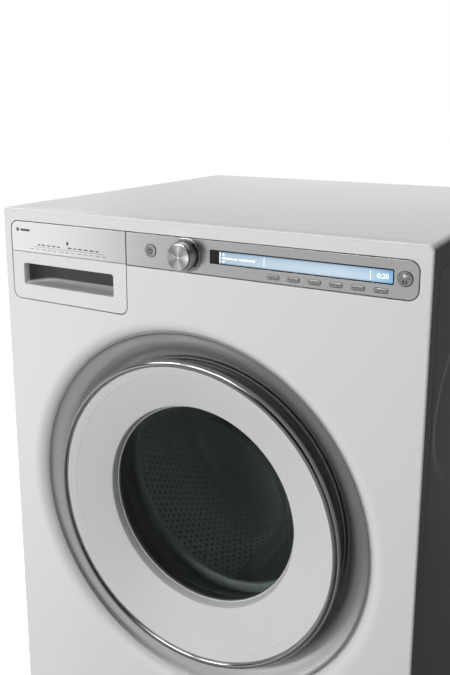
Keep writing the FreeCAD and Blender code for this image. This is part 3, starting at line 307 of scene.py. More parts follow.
def board(name):
    m, nt, out = new_mat(name)
    p = add(nt, "ShaderNodeBsdfPrincipled")
    v = coords(nt)
    tracks = nt.nodes.new("ShaderNodeTexBrick")
    tracks.inputs["Scale"].default_value = 120.0
    tracks.inputs["Color1"].default_value = (0.010, 0.085, 0.035, 1)
    tracks.inputs["Color2"].default_value = (0.012, 0.105, 0.045, 1)
    tracks.inputs["Mortar"].default_value = (0.03, 0.19, 0.08, 1)
    tracks.inputs["Mortar Size"].default_value = 0.03
    turned = coords(nt, rotation=(math.pi / 2, 0, 0))
    nt.links.new(turned, tracks.inputs["Vector"])
    nt.links.new(tracks.outputs["Color"], p.inputs["Base Color"])
    nt.links.new(remap(nt, noise(nt, v, 200.0), 0.3, 0.7, 0.32, 0.5), p.inputs["Roughness"])
    bump(nt, [(tracks.outputs["Fac"], 0.1, 0.0002)], p)
    finish_mat(nt, p, out)
    return m


def glass(name, tone, rough, low=0.035, high=0.75):
    """Thin glass: it lets what is behind it through with a tint and mirrors more towards its edges"""
    m, nt, out = new_mat(name)
    t = nt.nodes.new("ShaderNodeBsdfTransparent")
    g = nt.nodes.new("ShaderNodeBsdfGlossy")
    g.inputs["Color"].default_value = (0.95, 0.97, 1.0, 1)
    v = coords(nt)
    nt.links.new(ramp(nt, noise(nt, v, 3.0, 1.0), [(0.3, tint(tone, 0.99)), (0.7, tint(tone, 1.01))]), t.inputs["Color"])
    nt.links.new(remap(nt, noise(nt, v, 9.0, 1.0), 0.3, 0.7, rough, rough * 1.3), g.inputs["Roughness"])
    lw = nt.nodes.new("ShaderNodeLayerWeight")
    lw.inputs["Blend"].default_value = 0.5
    fac = calc(nt, "MULTIPLY_ADD", calc(nt, "POWER", lw.outputs["Facing"], 4.0), high, low)
    mix = nt.nodes.new("ShaderNodeMixShader")
    nt.links.new(fac, mix.inputs[0])
    nt.links.new(t.outputs[0], mix.inputs[1])
    nt.links.new(g.outputs[0], mix.inputs[2])
    finish_mat(nt, mix, out)
    return m


def backlit(name):
    """Blue back-lit display: pale in the middle, deeper at its ends and along the top edge"""
    m, nt, out = new_mat(name)
    p = add(nt, "ShaderNodeBsdfPrincipled", Roughness=0.25, **{"Base Color": (0.01, 0.015, 0.02, 1), "Emission Strength": 1.0})
    tc = nt.nodes.new("ShaderNodeTexCoord")
    sep = nt.nodes.new("ShaderNodeSeparateXYZ")
    nt.links.new(tc.outputs["Object"], sep.inputs[0])
    along = remap(nt, sep.outputs["X"], LCD[0] * 0.001, LCD[2] * 0.001, 0, 1)
    up = remap(nt, sep.outputs["Z"], LCD[1] * 0.001, LCD[3] * 0.001, 0, 1)
    base = ramp(nt, along, [
        (0.0, (0.26, 0.38, 0.47)), (0.04, (0.44, 0.57, 0.68)), (0.30, (0.51, 0.63, 0.73)), (0.55, (0.54, 0.66, 0.77)),
        (0.72, (0.55, 0.67, 0.79)), (0.86, (0.50, 0.65, 0.79)), (0.93, (0.40, 0.59, 0.77)), (1.0, (0.22, 0.45, 0.71)),
    ])
    shade = ramp(nt, up, [(0.0, (0.55, 0.62, 0.68)), (0.12, (1.06, 1.04, 1.02)), (0.45, (1.05, 1.04, 1.02)), (0.8, (0.9, 0.93, 0.96)), (0.93, (0.72, 0.78, 0.84)), (1.0, (0.35, 0.42, 0.5))])
    mul = nt.nodes.new("ShaderNodeMix")
    mul.data_type, mul.blend_type = "RGBA", "MULTIPLY"
    mul.inputs["Factor"].default_value = 1.0
    nt.links.new(base, mul.inputs[6])
    nt.links.new(shade, mul.inputs[7])
    cells = noise(nt, coords(nt, scale=(900, 900, 900)), 1.0, 1.0)
    mul2 = nt.nodes.new("ShaderNodeMix")
    mul2.data_type, mul2.blend_type = "RGBA", "MULTIPLY"
    mul2.inputs["Factor"].default_value = 0.5
    nt.links.new(mul.outputs[2], mul2.inputs[6])
    nt.links.new(ramp(nt, cells, [(0.2, (0.93, 0.95, 0.97)), (0.8, (1, 1, 1))]), mul2.inputs[7])
    nt.links.new(mul2.outputs[2], p.inputs["Emission Color"])
    finish_mat(nt, p, out)
    return m


def glowing(name, colour, strength):
    m, nt, out = new_mat(name)
    p = add(nt, "ShaderNodeBsdfPrincipled", Roughness=0.3, **{"Emission Strength": strength})
    v = coords(nt)
    nt.links.new(ramp(nt, noise(nt, v, 700.0, 2.0), [(0.2, tint(colour, 0.93)), (0.8, tint(colour, 1.0))]), p.inputs["Emission Color"])
    nt.links.new(ramp(nt, noise(nt, v, 700.0, 2.0), [(0.2, tint(colour, 0.8)), (0.8, tint(colour, 0.9))]), p.inputs["Base Color"])
    finish_mat(nt, p, out)
    return m


# ------------------------------------------------------------------ mesh helpers
def make(name, verts, faces, body, mat, sharp=32.0, replaces=(), weighted=False, flip=False):
    mesh = bpy.data.meshes.new(name)
    mesh.from_pydata([tuple(v) for v in verts], [], faces)
    bm = bmesh.new()
    bm.from_mesh(mesh)
    bmesh.ops.remove_doubles(bm, verts=bm.verts, dist=2e-7)
    bmesh.ops.recalc_face_normals(bm, faces=bm.faces)
    if flip:
        bmesh.ops.reverse_faces(bm, faces=bm.faces)
    for f in bm.faces:
        f.smooth = True
    bm.to_mesh(mesh)
    bm.free()
    mesh.set_sharp_from_angle(angle=math.radians(sharp))
    mesh.materials.append(mat)
    ob = bpy.data.objects.new(name, mesh)
    bpy.context.scene.collection.objects.link(ob)
    if weighted:
        w = ob.modifiers.new("Weighted", "WEIGHTED_NORMAL")
        w.keep_sharp = True
        w.weight = 80
    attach(ob, body)
    if replaces:
        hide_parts(*replaces)
    return ob


def soften(points, r=0.5, n=4, keep=()):
    """Closed (R, y) outline with each corner rounded by about r"""
    out, m = [], len(points)
    for i in range(m):
        p = Vector(points[i])
        a, b = Vector(points[i - 1]) - p, Vector(points[(i + 1) % m]) - p
        if i in keep or a.length < 1e-6 or b.length < 1e-6 or p.x < 1e-6:
            out.append((p.x, p.y))
            continue
        turn = math.pi - a.angle(b)
        if turn < math.radians(6):
            out.append((p.x, p.y))
            continue
        ta, tb = min(r, a.length * 0.45), min(r, b.length * 0.45)
        s, e = p + a.normalized() * ta, p + b.normalized() * tb
        for k in range(n + 1):
            t = k / n
            q = s * (1 - t) ** 2 + p * 2 * t * (1 - t) + e * t * t
            out.append((q.x, q.y))
    return out


def flow(points, n=5):
    """Catmull-Rom through an open list of points"""
    pts = [Vector(p) for p in points]
    pts = [pts[0] * 2 - pts[1]] + pts + [pts[-1] * 2 - pts[-2]]
    out = []
    for i in range(1, len(pts) - 2):
        a, b, c, d = pts[i - 1], pts[i], pts[i + 1], pts[i + 2]
        for k in range(n):
            t = k / n
            q = 0.5 * ((2 * b) + (c - a) * t + (2 * a - 5 * b + 4 * c - d) * t * t + (3 * b - a - 3 * c + d) * t ** 3)
            out.append((q.x, q.y))
    out.append((pts[-2].x, pts[-2].y))
    return out


def lathe(name, profile, body, mat, centre=None, seg=256, closed=True, sharp=32.0, replaces=(), weighted=False, axis="y"):
    """A (R, depth) outline turned about the axis through centre; points at R 0 become poles"""
    cx, cz = centre or (DX, DZ)
    verts, rows = [], []
    for r, y in profile:
        if r < 1e-6:
            rows.append([len(verts)])
            verts.append(P(cx, y, cz) if axis == "y" else P(cx, cz, y))
        else:
            rows.append(list(range(len(verts), len(verts) + seg)))
            for i in range(seg):
                a = 2 * math.pi * i / seg
                verts.append(P(cx + r * math.cos(a), y, cz + r * math.sin(a)) if axis == "y" else P(cx + r * math.cos(a), cz + r * math.sin(a), y))
    faces = []
    pairs = list(zip(rows, rows[1:]))
    if closed:
        pairs.append((rows[-1], rows[0]))
    for a, b in pairs:
        if len(a) == 1 and len(b) == 1:
            continue
        for i in range(seg):
            j = (i + 1) % seg
            if len(a) == 1:
                faces.append((a[0], b[i], b[j]))
            elif len(b) == 1:
                faces.append((a[i], b[0], a[j]))
            else:
                faces.append((a[i], b[i], b[j], a[j]))
    return make(name, verts, faces, body, mat, sharp, replaces, weighted)


def ring(points, inset=0.0, n=8):
    """Anticlockwise outline with rounded corners from (x, z, r) points, moved inwards by inset"""
    m = len(points)
    pts = [Vector(p[:2]) for p in points]
    dirs = [(pts[(i + 1) % m] - pts[i]).normalized() for i in range(m)]
    nrm = [Vector((-d.y, d.x)) for d in dirs]
    moved = []
    for i in range(m):
        a, b = nrm[i - 1], nrm[i]
        den = a.x * b.y - a.y * b.x
        ca, cb = pts[i].dot(a) + inset, pts[i].dot(b) + inset
        moved.append(Vector(((ca * b.y - cb * a.y) / den, (a.x * cb - b.x * ca) / den)))
    out = []
    for i in range(m):
        d0, d1 = dirs[i - 1], dirs[i]
        cross = d0.x * d1.y - d0.y * d1.x
        side = 1 if cross > 0 else -1
        r = max(points[i][2] - inset * side, 0.03)
        turn = math.atan2(cross, d0.dot(d1))
        start = moved[i] - d0 * (r * math.tan(abs(turn) / 2))
        c = start + Vector((-d0.y, d0.x)) * r * side
        for k in range(n + 1):
            th = turn * k / n
            v = start - c
            out.append((c.x + v.x * math.cos(th) - v.y * math.sin(th), c.y + v.x * math.sin(th) + v.y * math.cos(th)))
    return out


def box_ring(x0, z0, x1, z1, r, inset=0.0, n=8):
    if not hasattr(r, "__len__"):
        r = (r,) * 4
    return ring([(x0, z0, r[0]), (x1, z0, r[1]), (x1, z1, r[2]), (x0, z1, r[3])], inset, n)


def disc_ring(cx, cz, r, n=64):
    return [(cx + r * math.cos(2 * math.pi * i / n), cz + r * math.sin(2 * math.pi * i / n)) for i in range(n)]


def inside(p, loop):
    x, y, hit = p[0], p[1], False
    for i in range(len(loop)):
        (x0, y0), (x1, y1) = loop[i - 1], loop[i]
        if (y0 > y) != (y1 > y) and x < (x1 - x0) * (y - y0) / (y1 - y0) + x0:
            hit = not hit
    return hit


def fill(loops):
    """Triangles of the flat region inside loops[0] and outside the others, as indices into the joined loops"""
    flat, edges = [], []
    for loop in loops:
        base = len(flat)
        flat += [Vector(p) for p in loop]
        edges += [(base + i, base + (i + 1) % len(loop)) for i in range(len(loop))]
    v, _e, f, vo, _eo, _fo = delaunay_2d_cdt(flat, edges, [], 0, 1e-7)
    tris = []
    for tri in f:
        c = sum((v[i] for i in tri), Vector((0, 0))) / 3
        if inside(c, loops[0]) and not any(inside(c, h) for h in loops[1:]):
            tris.append(tuple(vo[i][0] for i in tri))
    return tris


def plate(name, outer, holes, body, mat, sharp=32.0, replaces=(), weighted=True, put=None):
    """A closed body from chains of outlines: each chain is [(outline, depth), ...] from the front face to the back"""
    put = put or (lambda p, d: P(p[0], d, p[1]))
    verts, faces, front, back = [], [], [], []
    for chain in [outer] + holes:
        start = len(verts)
        m = len(chain[0][0])
        for loop, d in chain:
            assert len(loop) == m
            verts += [put(p, d) for p in loop]
        for k in range(len(chain) - 1):
            for i in range(m):
                j = (i + 1) % m
                a, b = start + k * m, start + (k + 1) * m
                faces.append((a + i, a + j, b + j, b + i))
        front.append((chain[0][0], start))
        back.append((chain[-1][0], start + (len(chain) - 1) * m))
    for group in (front, back):
        index = [base + i for loop, base in group for i in range(len(loop))]
        faces += [tuple(index[i] for i in t) for t in fill([g[0] for g in group])]
    return make(name, verts, faces, body, mat, sharp, replaces, weighted)


def edge_chain(maker, e, y, steps=4, sign=1.0, way=1.0):
    """Rounded edge of radius e: from the flat face at depth y to the wall; sign -1 for a hole, way -1 for a back edge"""
    return [(maker(sign * e * (1 - math.sin(t))), y + way * e * (1 - math.cos(t))) for t in [math.pi / 2 * k / steps for k in range(steps + 1)]]


def slab(name, x0, z0, x1, z1, r, y0, y1, e, body, mat, holes=(), replaces=(), n=8, sharp=32.0):
    def mk(i):
        return box_ring(x0, z0, x1, z1, r, i, n)
    outer = edge_chain(mk, e, y0) + edge_chain(mk, min(e, 0.4), y1, 2, way=-1)[::-1]
    return plate(name, outer, list(holes), body, mat, sharp, replaces)


# ------------------------------------------------------------------ materials
LCD = (48.6, 805.7, 255.6, 819.9)
M = {}
M["enamel"] = painted("white_enamel", (0.79, 0.79, 0.79), 0.30, 0.005, coat=0.2, coat_rough=0.12, peel=0.02, uneven=0.02)
M["worktop"] = painted("worktop_white", (0.80, 0.80, 0.80), 0.36, 0.006, peel=0.03, uneven=0.02)
M["white"] = painted("white_plastic", (0.80, 0.80, 0.795), 0.35, 0.015, peel=0.05, grain=900)
# the drawer's white carries painted shade deep in its grip
M["drawer"] = grip_with_painted_shade("drawer_white_painted_shade", (0.80, 0.80, 0.80), (0.035, 0.035, 0.036))
M["flap"] = painted("flap_white", (0.80, 0.80, 0.80), 0.33, 0.006, peel=0.04, grain=900)
M["dish"] = painted("dish_white", (0.75, 0.75, 0.75), 0.30, 0.006, coat=0.2, peel=0.02, grain=900)
M["galvanised"] = spangled("galvanised")
M["satin"] = metal("satin_ring", (0.70, 0.70, 0.70), 0.34, 0.01, 30.0, 0.004, metallic=0.84, uneven=0.04)
M["chrome"] = metal("bright_chrome", (0.38, 0.38, 0.385), 0.09, 0.01, 9.0, 0.0, uneven=0.05)
M["strip"] = brushed("strip_metal", (0.78, 0.78, 0.78), 0.24, (4, 4, 1400), 0.05, 0.05)
M["trim"] = brushed("trim_metal", (0.82, 0.82, 0.82), 0.24, (4, 4, 1400), 0.04, 0.03)
M["key"] = brushed("key_metal", (0.46, 0.46, 0.46), 0.30, (260, 260, 420), 0.25, 0.22)
M["pill"] = brushed("pill_metal", (0.60, 0.60, 0.60), 0.30, (300, 300, 500), 0.25, 0.22)
# the knob face carries a painted sheen of bright and dark wedges
M["knob"] = brushed("knob_metal_painted_sheen", (0.72, 0.72, 0.72), 0.30, (0, 0, 2600), 0.10, 0.08, radial=True, anisotropic=0.9, centre=(KX, KZ), painted_sheen=0.38)
M["collar"] = metal("collar_metal", (0.50, 0.50, 0.50), 0.28, 0.04, 60.0)
M["pane"] = glass("clear_pane", (0.985, 0.985, 0.985), 0.015, 0.004, 0.6)
M["bowl"] = glass("dark_glass", (0.75, 0.78, 0.77), 0.03, 0.004, 0.5)
M["black_glass"] = painted("display_black", (0.008, 0.008, 0.009), 0.10, 0.1, peel=0.004)
M["circuit"] = board("circuit")
M["grey_plastic"] = moulded("grey_plastic", (0.42, 0.43, 0.44), 0.5)
M["black_plastic"] = moulded("black_plastic", (0.02, 0.02, 0.021), 0.45)
M["grey_rubber"] = moulded("grey_rubber", (0.21, 0.215, 0.22), 0.62, 1200.0, 0.1)
M["black_rubber"] = moulded("black_rubber", (0.018, 0.018, 0.018), 0.7, 1200.0, 0.15)
M["drum"] = metal("drum_steel", (0.84, 0.88, 0.87), 0.36, 0.04, 20.0, 0.01, metallic=0.35)
M["cast"] = metal("cast_alloy", (0.50, 0.50, 0.51), 0.48, 0.08, 60.0, 0.12)
M["steel"] = metal("steel_part", (0.55, 0.55, 0.56), 0.32, 0.07, 80.0, 0.03)
M["motor"] = painted("motor_black", (0.03, 0.03, 0.033), 0.4, 0.1, peel=0.1)
M["stone"] = grey_stone("concrete")
M["lcd"] = backlit("display_blue")
M["lit"] = glowing("display_white", (0.98, 1.0, 1.0), 1.0)
M["ink"] = painted("dark_mark", (0.02, 0.02, 0.02), 0.5, 0.2, peel=0.02)
M["paint_white"] = painted("white_mark", (0.9, 0.9, 0.9), 0.45, 0.03, peel=0.02)
M["pale_grey"] = painted("pale_grey_mark", (0.30, 0.30, 0.30), 0.5, 0.15, peel=0.02)
M["dark_grey"] = painted("dark_grey_mark", (0.10, 0.10, 0.10), 0.5, 0.15, peel=0.02)

CAD_MATS = {
    "base_frame": "galvanised", "control_board": "circuit", "dampers": "steel", "display_window": "black_glass",
    "door_gasket": "grey_rubber", "door_hinge_leaf": "steel", "door_latch_hook": "steel", "door_lock": "black_plastic",
    "drain_outlet": "grey_plastic", "drain_pump": "grey_plastic", "drawer_housing": "grey_plastic", "drawer_tray": "white",
    "drive_belt": "black_rubber", "drum_bearings": "steel", "drum_lifters": "grey_plastic", "drum_pulley": "cast",
    "drum_spider_shaft": "cast", "heating_element": "steel", "hinge_bracket": "steel", "hinge_pin": "steel",
    "inlet_valve": "white", "left_side_panel": "enamel", "right_side_panel": "enamel", "motor_housing": "motor",
    "motor_rotor": "steel", "outer_tub": "grey_plastic", "power_inlet_gland": "black_plastic", "pump_filter": "white",
    "rear_panel": "galvanised", "rear_screws": "steel", "rear_service_cover": "galvanised", "service_flap": "flap",
    "sump_hose": "black_rubber", "suspension_springs": "steel", "top_counterweight": "stone", "top_panel": "worktop",
    "levelling_foot_1": "black_rubber", "levelling_foot_2": "black_rubber", "levelling_foot_3": "black_rubber",
    "levelling_foot_4": "black_rubber", "door_surround": "satin", "door_bezel": "chrome", "door_outer_pane": "pane",
    "door_white_ring": "dish", "door_inner_frame": "white", "door_glass_bowl": "bowl", "control_fascia": "strip",
    "power_button": "key", "start_button": "key", "program_knob": "knob", "drawer_front": "drawer", "drawer_trim": "trim",
    "drum_shell": "drum", "front_panel": "enamel",
}
for name, ob in NODES.items():
    key = CAD_MATS.get(name, "pill" if name.startswith("option_button") else "steel")
    ob.data.materials.clear()
    ob.data.materials.append(M[key])

# ------------------------------------------------------------------ front sheet
SHELL = [(-297.5, 25.0, 1.0), (297.5, 25.0, 1.0), (297.5, 850.0, 7.0), (-297.5, 850.0, 7.0)]
outer = edge_chain(lambda i: ring(SHELL, i), 3.5, 0.0, 6)
outer += [(ring(SHELL, 0.0), 22.6), (ring(SHELL, 0.4), 23.0), (ring(SHELL, 2.1), 23.0), (ring(SHELL, 2.5), 22.6), (ring(SHELL, 2.5), 3.4), (ring(SHELL, 3.4), 2.5)]
ROLL = flow([(263.0, 0.0), (260.0, 0.12), (257.0, 0.55), (254.0, 1.45), (251.0, 2.95), (248.5, 4.7), (246.3, 6.7), (244.7, 8.7), (243.98, 10.2), (243.9, 11.8)], 3)
ROLL += [(244.6, 12.3), (246.0, 12.2), (246.5, 11.4), (246.8, 9.6), (248.5, 7.4), (251.0, 5.2), (254.0, 3.7), (258.0, 2.6), (262.0, 2.5)]
door_hole = [(disc_ring(DX, DZ, r, 256), y) for r, y in ROLL]
TRAY = [(-283.6, 723.0, 12.0), (-86.5, 723.0, 12.0), (-86.5, 789.2, 0.5), (283.8, 789.2, 12.0), (283.8, 833.0, 12.0), (-283.6, 833.0, 12.0)]
tray_hole = edge_chain(lambda i: ring(TRAY, i), 0.7, 0.0, 4, sign=-1.0) + [(ring(TRAY, 0.0), 2.5)]
FLAP = [(118.0, 48.0, 4.0), (222.0, 48.0, 4.0), (222.0, 150.0, 4.0), (118.0, 150.0, 4.0)]
flap_hole = edge_chain(lambda i: ring(FLAP, i), 0.7, 0.0, 4, sign=-1.0) + [(ring(FLAP, 0.0), 2.5)]
plate("front_sheet", outer, [door_hole, tray_hole, flap_hole], "cabinet", M["enamel"], replaces=["front_panel"])

# ------------------------------------------------------------------ worktop
TOP = [(-297.5, 819.0, 1.0), (-293.5, 819.0, 0.8), (-293.5, 836.0, 2.0), (293.5, 836.0, 2.0), (293.5, 819.0, 0.8), (297.5, 819.0, 1.0), (297.5, 850.0, 7.0), (-297.5, 850.0, 7.0)]
chain = edge_chain(lambda i: ring(TOP, i), 1.6, 23.4, 5) + edge_chain(lambda i: ring(TOP, i), 1.8, 585.0, 5, way=-1)[::-1]
plate("worktop", chain, [], "cabinet", M["worktop"], replaces=["top_panel"])

# ------------------------------------------------------------------ side sheets with pressed ovals
def side_sheet(name, side, node):
    ys = [24.2 + (582.8 - 24.2) * i / 112 for i in range(113)]
    path = [(285.5, 23.0), (291.0, 23.0), (295.6, 23.0), (296.7, 23.25), (297.25, 23.7)]
    path += [(297.5, y) for y in ys]
    path += [(297.2, 583.5), (296.4, 584.0), (290.0, 584.0), (275.5, 584.0)]
    inner = [(275.5, 582.8), (290.0, 582.8), (295.9, 582.6), (296.3, 582.2)]
    inner += [(296.3, y) for y in reversed(ys[1:-1])]
    inner += [(296.2, 24.6), (295.6, 24.2), (291.0, 24.2), (285.5, 24.2)]
    section = path + inner
    rows = 159
    zs = [25.0 + (818.7 - 25.0) * i / rows for i in range(rows + 1)]

    def dip(y, z):
        d = 0.0
        for cz in (631.0, 240.0):
            q = math.hypot((y - 292.0) / 255.0, (z - cz) / 121.0)
            k = max(0.0, min(1.0, (1.0 - q) / 0.055))
            d = max(d, k * k * (3 - 2 * k))
        return d * 1.2
    verts, faces, m = [], [], len(section)
    for z in zs:
        for x, y in section:
            verts.append(P(side * (x - (dip(y, z) if x > 296.25 else 0.0)), y, z))
    for r in range(rows):
        for i in range(m):
            j = (i + 1) % m
            faces.append((r * m + i, r * m + j, (r + 1) * m + j, (r + 1) * m + i))
    # the two skins are joined across the sheet's thickness at its lower and upper ends
    a, b = len(path), len(inner)
    for base in (0, rows * m):
        for i in range(a - 1):
            p, q = i, i + 1
            # match by share of the way along each skin
            u = m - 1 - round(i * (b - 1) / (a - 1))
            v = m - 1 - round((i + 1) * (b - 1) / (a - 1))
            f = [base + p, base + q, base + v, base + u]
            if u == v:
                f = [base + p, base + q, base + u]
            faces.append(tuple(f))
    return make(name, verts, faces, "cabinet", M["enamel"], 40.0, [node], weighted=False)


side_sheet("right_sheet", 1.0, "right_side_panel")
side_sheet("left_sheet", -1.0, "left_side_panel")

# ------------------------------------------------------------------ door surround, bezel, dish and window
SUR = flow([(243.75, 11.4), (243.7, 10.1), (243.3, 9.3), (242.7, 9.1), (242.1, 9.6), (241.2, 11.2), (238.4, 13.9), (234.0, 16.2), (228.5, 18.6), (223.5, 21.2), (219.0, 24.6), (215.0, 28.6), (211.6, 32.4), (209.0, 34.8), (207.6, 35.6)], 4)
SUR += [(206.6, 35.8), (205.7, 36.1), (205.25, 36.8), (205.2, 37.6), (205.2, 46.0), (160.0, 46.0), (160.0, 54.0), (162.5, 54.0), (162.5, 48.5), (207.7, 48.5), (207.7, 39.6), (211.0, 37.5), (217.5, 31.0), (224.0, 25.0), (230.5, 21.4), (237.5, 17.9), (241.5, 15.6), (243.6, 14.6), (252.0, 14.6), (252.0, 12.4), (244.2, 12.4)]
lathe("surround_ring", SUR, "cabinet", M["satin"], sharp=35, replaces=["door_surround"])

BEZ = flow([(200.2, 0.6), (200.45, -1.4), (201.1, -2.8), (202.1, -3.7), (203.2, -4.0), (204.6, -3.75), (206.0, -2.9), (207.1, -1.6), (208.0, 0.3), (208.5, 2.6), (208.5, 4.8), (207.9, 7.4), (206.8, 11.0), (205.3, 17.0), (203.3, 30.4)], 3) + [(200.2, 30.4)]
lathe("bezel_ring", BEZ, "door", M["chrome"], sharp=40, replaces=["door_bezel"])

lathe("front_pane", [(0.0, -0.8), (60.0, -0.8), (140.0, -0.78), (190.0, -0.74), (199.2, -0.7), (199.8, -0.4), (200.0, 0.0), (199.9, 0.5), (199.4, 0.7), (0.0, 0.7)], "door", M["pane"], closed=False, replaces=["door_outer_pane"])

DISH = soften([(199.9, 0.9), (198.9, 1.0), (188.2, 5.0), (187.0, 5.75), (164.0, 15.1), (140.7, 24.4), (139.7, 25.3), (136.5, 34.0), (138.6, 34.0), (142.6, 27.2), (186.8, 9.0), (197.2, 4.9), (197.2, 30.4), (199.9, 30.4)], 0.5, 4)
lathe("dish_ring", DISH, "door", M["dish"], sharp=45, replaces=["door_white_ring"])

FRAME = soften([(202.8, 30.6), (202.8, 37.0), (193.2, 42.0), (150.0, 42.0), (135.6, 39.5), (135.6, 34.2), (150.0, 34.2), (152.0, 37.0), (186.0, 37.0), (190.0, 30.6)], 1.0, 4)
lathe("door_back", FRAME, "door", M["white"], sharp=40, replaces=["door_inner_frame"])

BOWL_OUT = flow([(0.0, 106.0), (25.0, 105.8), (50.0, 105.0), (74.0, 102.6), (92.0, 98.0), (104.0, 88.0), (110.5, 76.0), (116.0, 64.0), (121.5, 53.0), (127.0, 42.0), (129.0, 38.9)], 4)
BOWL_OUT[0] = (0.0, 106.0)
BOWL_IN = flow([(124.6, 34.9), (118.5, 48.0), (112.0, 62.0), (106.6, 74.5), (100.5, 86.0), (90.0, 94.2), (73.0, 98.6), (50.0, 101.0), (25.0, 101.8), (0.0, 102.0)], 4)
BOWL_IN[-1] = (0.0, 102.0)
BOWL = BOWL_OUT + [(130.0, 38.6), (134.8, 38.5), (135.2, 38.1), (135.2, 34.8), (134.8, 34.4), (125.4, 34.4)] + BOWL_IN
lathe("window_bowl", BOWL, "door", M["bowl"], closed=False, sharp=40, replaces=["door_glass_bowl"])

# ------------------------------------------------------------------ perforated drum
def drum():
    R, y0, y1 = 235.6, 112.0, 370.0
    cols, rows_n = 132, 24
    w, h = 2 * math.pi * R / cols, (y1 - y0) / rows_n
    hole = 2.0
    verts, faces = [], []

    def at(u, v, r=R):
        a = u / R
        return P(DX + r * math.cos(a), v, DZ + r * math.sin(a))
    for row in range(rows_n):
        for col in range(cols):
            u = (col + (0.5 if row % 2 else 0.0)) * w
            v = y0 + (row + 0.5) * h
            rim = [(-0.5, -0.5), (0.0, -0.5), (0.5, -0.5), (0.5, 0.0), (0.5, 0.5), (0.0, 0.5), (-0.5, 0.5), (-0.5, 0.0)]
            base = len(verts)
            verts += [at(u + a * w, v + b * h) for a, b in rim]
            for a, b in rim:
                t = math.atan2(b * h, a * w)
                verts.append(at(u + hole * math.cos(t), v + hole * math.sin(t)))
            for i in range(8):
                j = (i + 1) % 8
                faces.append((base + i, base + j, base + 8 + j, base + 8 + i))
    # rolled front lip and pressed back on the same skin
    lip = [(235.6, 112.0), (235.6, 106.0), (233.8, 101.0), (229.0, 98.4), (222.0, 97.9), (190.0, 98.3), (164.0, 99.0), (154.0, 100.6), (150.4, 104.0), (150.2, 108.0)]
    back = [(235.6, 370.0), (235.6, 375.0), (233.6, 380.5), (228.0, 384.2), (200.0, 384.6), (150.0, 383.4), (120.0, 380.0), (60.0, 377.4), (0.0, 377.0)]
    n = cols * 2
    for line in (lip, back):
        rows = []
        for r, y in line:
            if r < 1e-6:
                rows.append([len(verts)])
                verts.append(P(DX, y, DZ))
                continue
            rows.append(list(range(len(verts), len(verts) + n)))
            verts += [P(DX + r * math.cos(2 * math.pi * (i - 1) / n), y, DZ + r * math.sin(2 * math.pi * (i - 1) / n)) for i in range(n)]
        for a, b in zip(rows, rows[1:]):
            for i in range(n):
                j = (i + 1) % n
                faces.append((a[i], b[0], a[j]) if len(b) == 1 else (a[i], b[i], b[j], a[j]))
    ob = make("drum_basket", verts, faces, "drum", M["drum"], 50.0, ["drum_shell"])
    s = ob.modifiers.new("Thickness", "SOLIDIFY")
    s.thickness = 0.0008
    s.offset = 0.0
    return ob


drum()

# ------------------------------------------------------------------ detergent drawer
DR = dict(x0=-282.6, x1=-87.5, z0=724.0, z1=790.2)
REC = [(-262.5, 745.0, 2.0), (-108.5, 745.0, 2.0), (-108.5, 774.5, 3.5), (-262.5, 774.5, 3.5)]
def rec(i, dz0=0.0, dz1=0.0, dx0=0.0, dx1=0.0, r=None):
    pts = [(-262.5 + dx0, 745.0 + dz0), (-108.5 - dx1, 745.0 + dz0), (-108.5 - dx1, 774.5 + dz1), (-262.5 + dx0, 774.5 + dz1)]
    rr = r or (2.0, 2.0, 3.5, 3.5)
    return ring([(p[0], p[1], q) for p, q in zip(pts, rr)], i, 10)
pocket = [(rec(-0.8 * (1 - math.sin(t))), 0.8 * (1 - math.cos(t))) for t in [math.pi / 2 * k / 4 for k in range(5)]]
pocket += [
    (rec(0, 0.8, 0.0, 1.5, 0.2), 3.4), (rec(0, 1.0, 2.5, 2.2, 0.3, (3, 2, 4, 5)), 4.3), (rec(0, 1.3, 5.8, 3.4, 0.4, (5, 2, 4, 7)), 5.4),
    (rec(0, 2.2, 6.4, 8.0, 0.8, (7, 3, 5, 10)), 9.5), (rec(0, 3.2, 6.4, 14.5, 1.2, (9, 3, 5, 12)), 14.0),
    (rec(0, 4.4, 6.0, 23.0, 1.8, (9, 4, 6, 12)), 18.0), (rec(0, 6.0, 4.6, 33.0, 3.0, (8, 5, 6, 11)), 20.3), (rec(0, 8.4, 2.6, 38.0, 5.0, (8, 4, 5, 9)), 21.0),
]


def drawer_face():
    box = [(DR["x0"], DR["z0"], 11.0), (DR["x1"], DR["z0"], 11.0), (DR["x1"], DR["z1"], 0.3), (DR["x0"], DR["z1"], 0.3)]
    chain = edge_chain(lambda i: ring(box, i), 0.9, 0.0, 5) + edge_chain(lambda i: ring(box, i), 0.6, 24.0, 2, way=-1)[::-1]
    verts, faces = [], []
    m = len(chain[0][0])
    for loop, d in chain:
        verts += [P(p[0], d, p[1]) for p in loop]
    for k in range(len(chain) - 1):
        for i in range(m):
            j = (i + 1) % m
            faces.append((k * m + i, k * m + j, (k + 1) * m + j, (k + 1) * m + i))
    start = len(verts)
    q = len(pocket[0][0])
    for loop, d in pocket:
        verts += [P(p[0], d, p[1]) for p in loop]
    for k in range(len(pocket) - 1):
        for i in range(q):
            j = (i + 1) % q
            faces.append((start + k * q + i, start + k * q + j, start + (k + 1) * q + j, start + (k + 1) * q + i))
    index = list(range(m)) + list(range(start, start + q))
    faces += [tuple(index[i] for i in t) for t in fill([chain[0][0], pocket[0][0]])]
    last = (len(chain) - 1) * m
    faces += [tuple(last + i for i in t) for t in fill([chain[-1][0]])]
    last = start + (len(pocket) - 1) * q
    faces += [tuple(last + i for i in t) for t in fill([pocket[-1][0]])]
    return make("drawer_face", verts, faces, "drawer", M["drawer"], 34.0, ["drawer_front"], weighted=True)


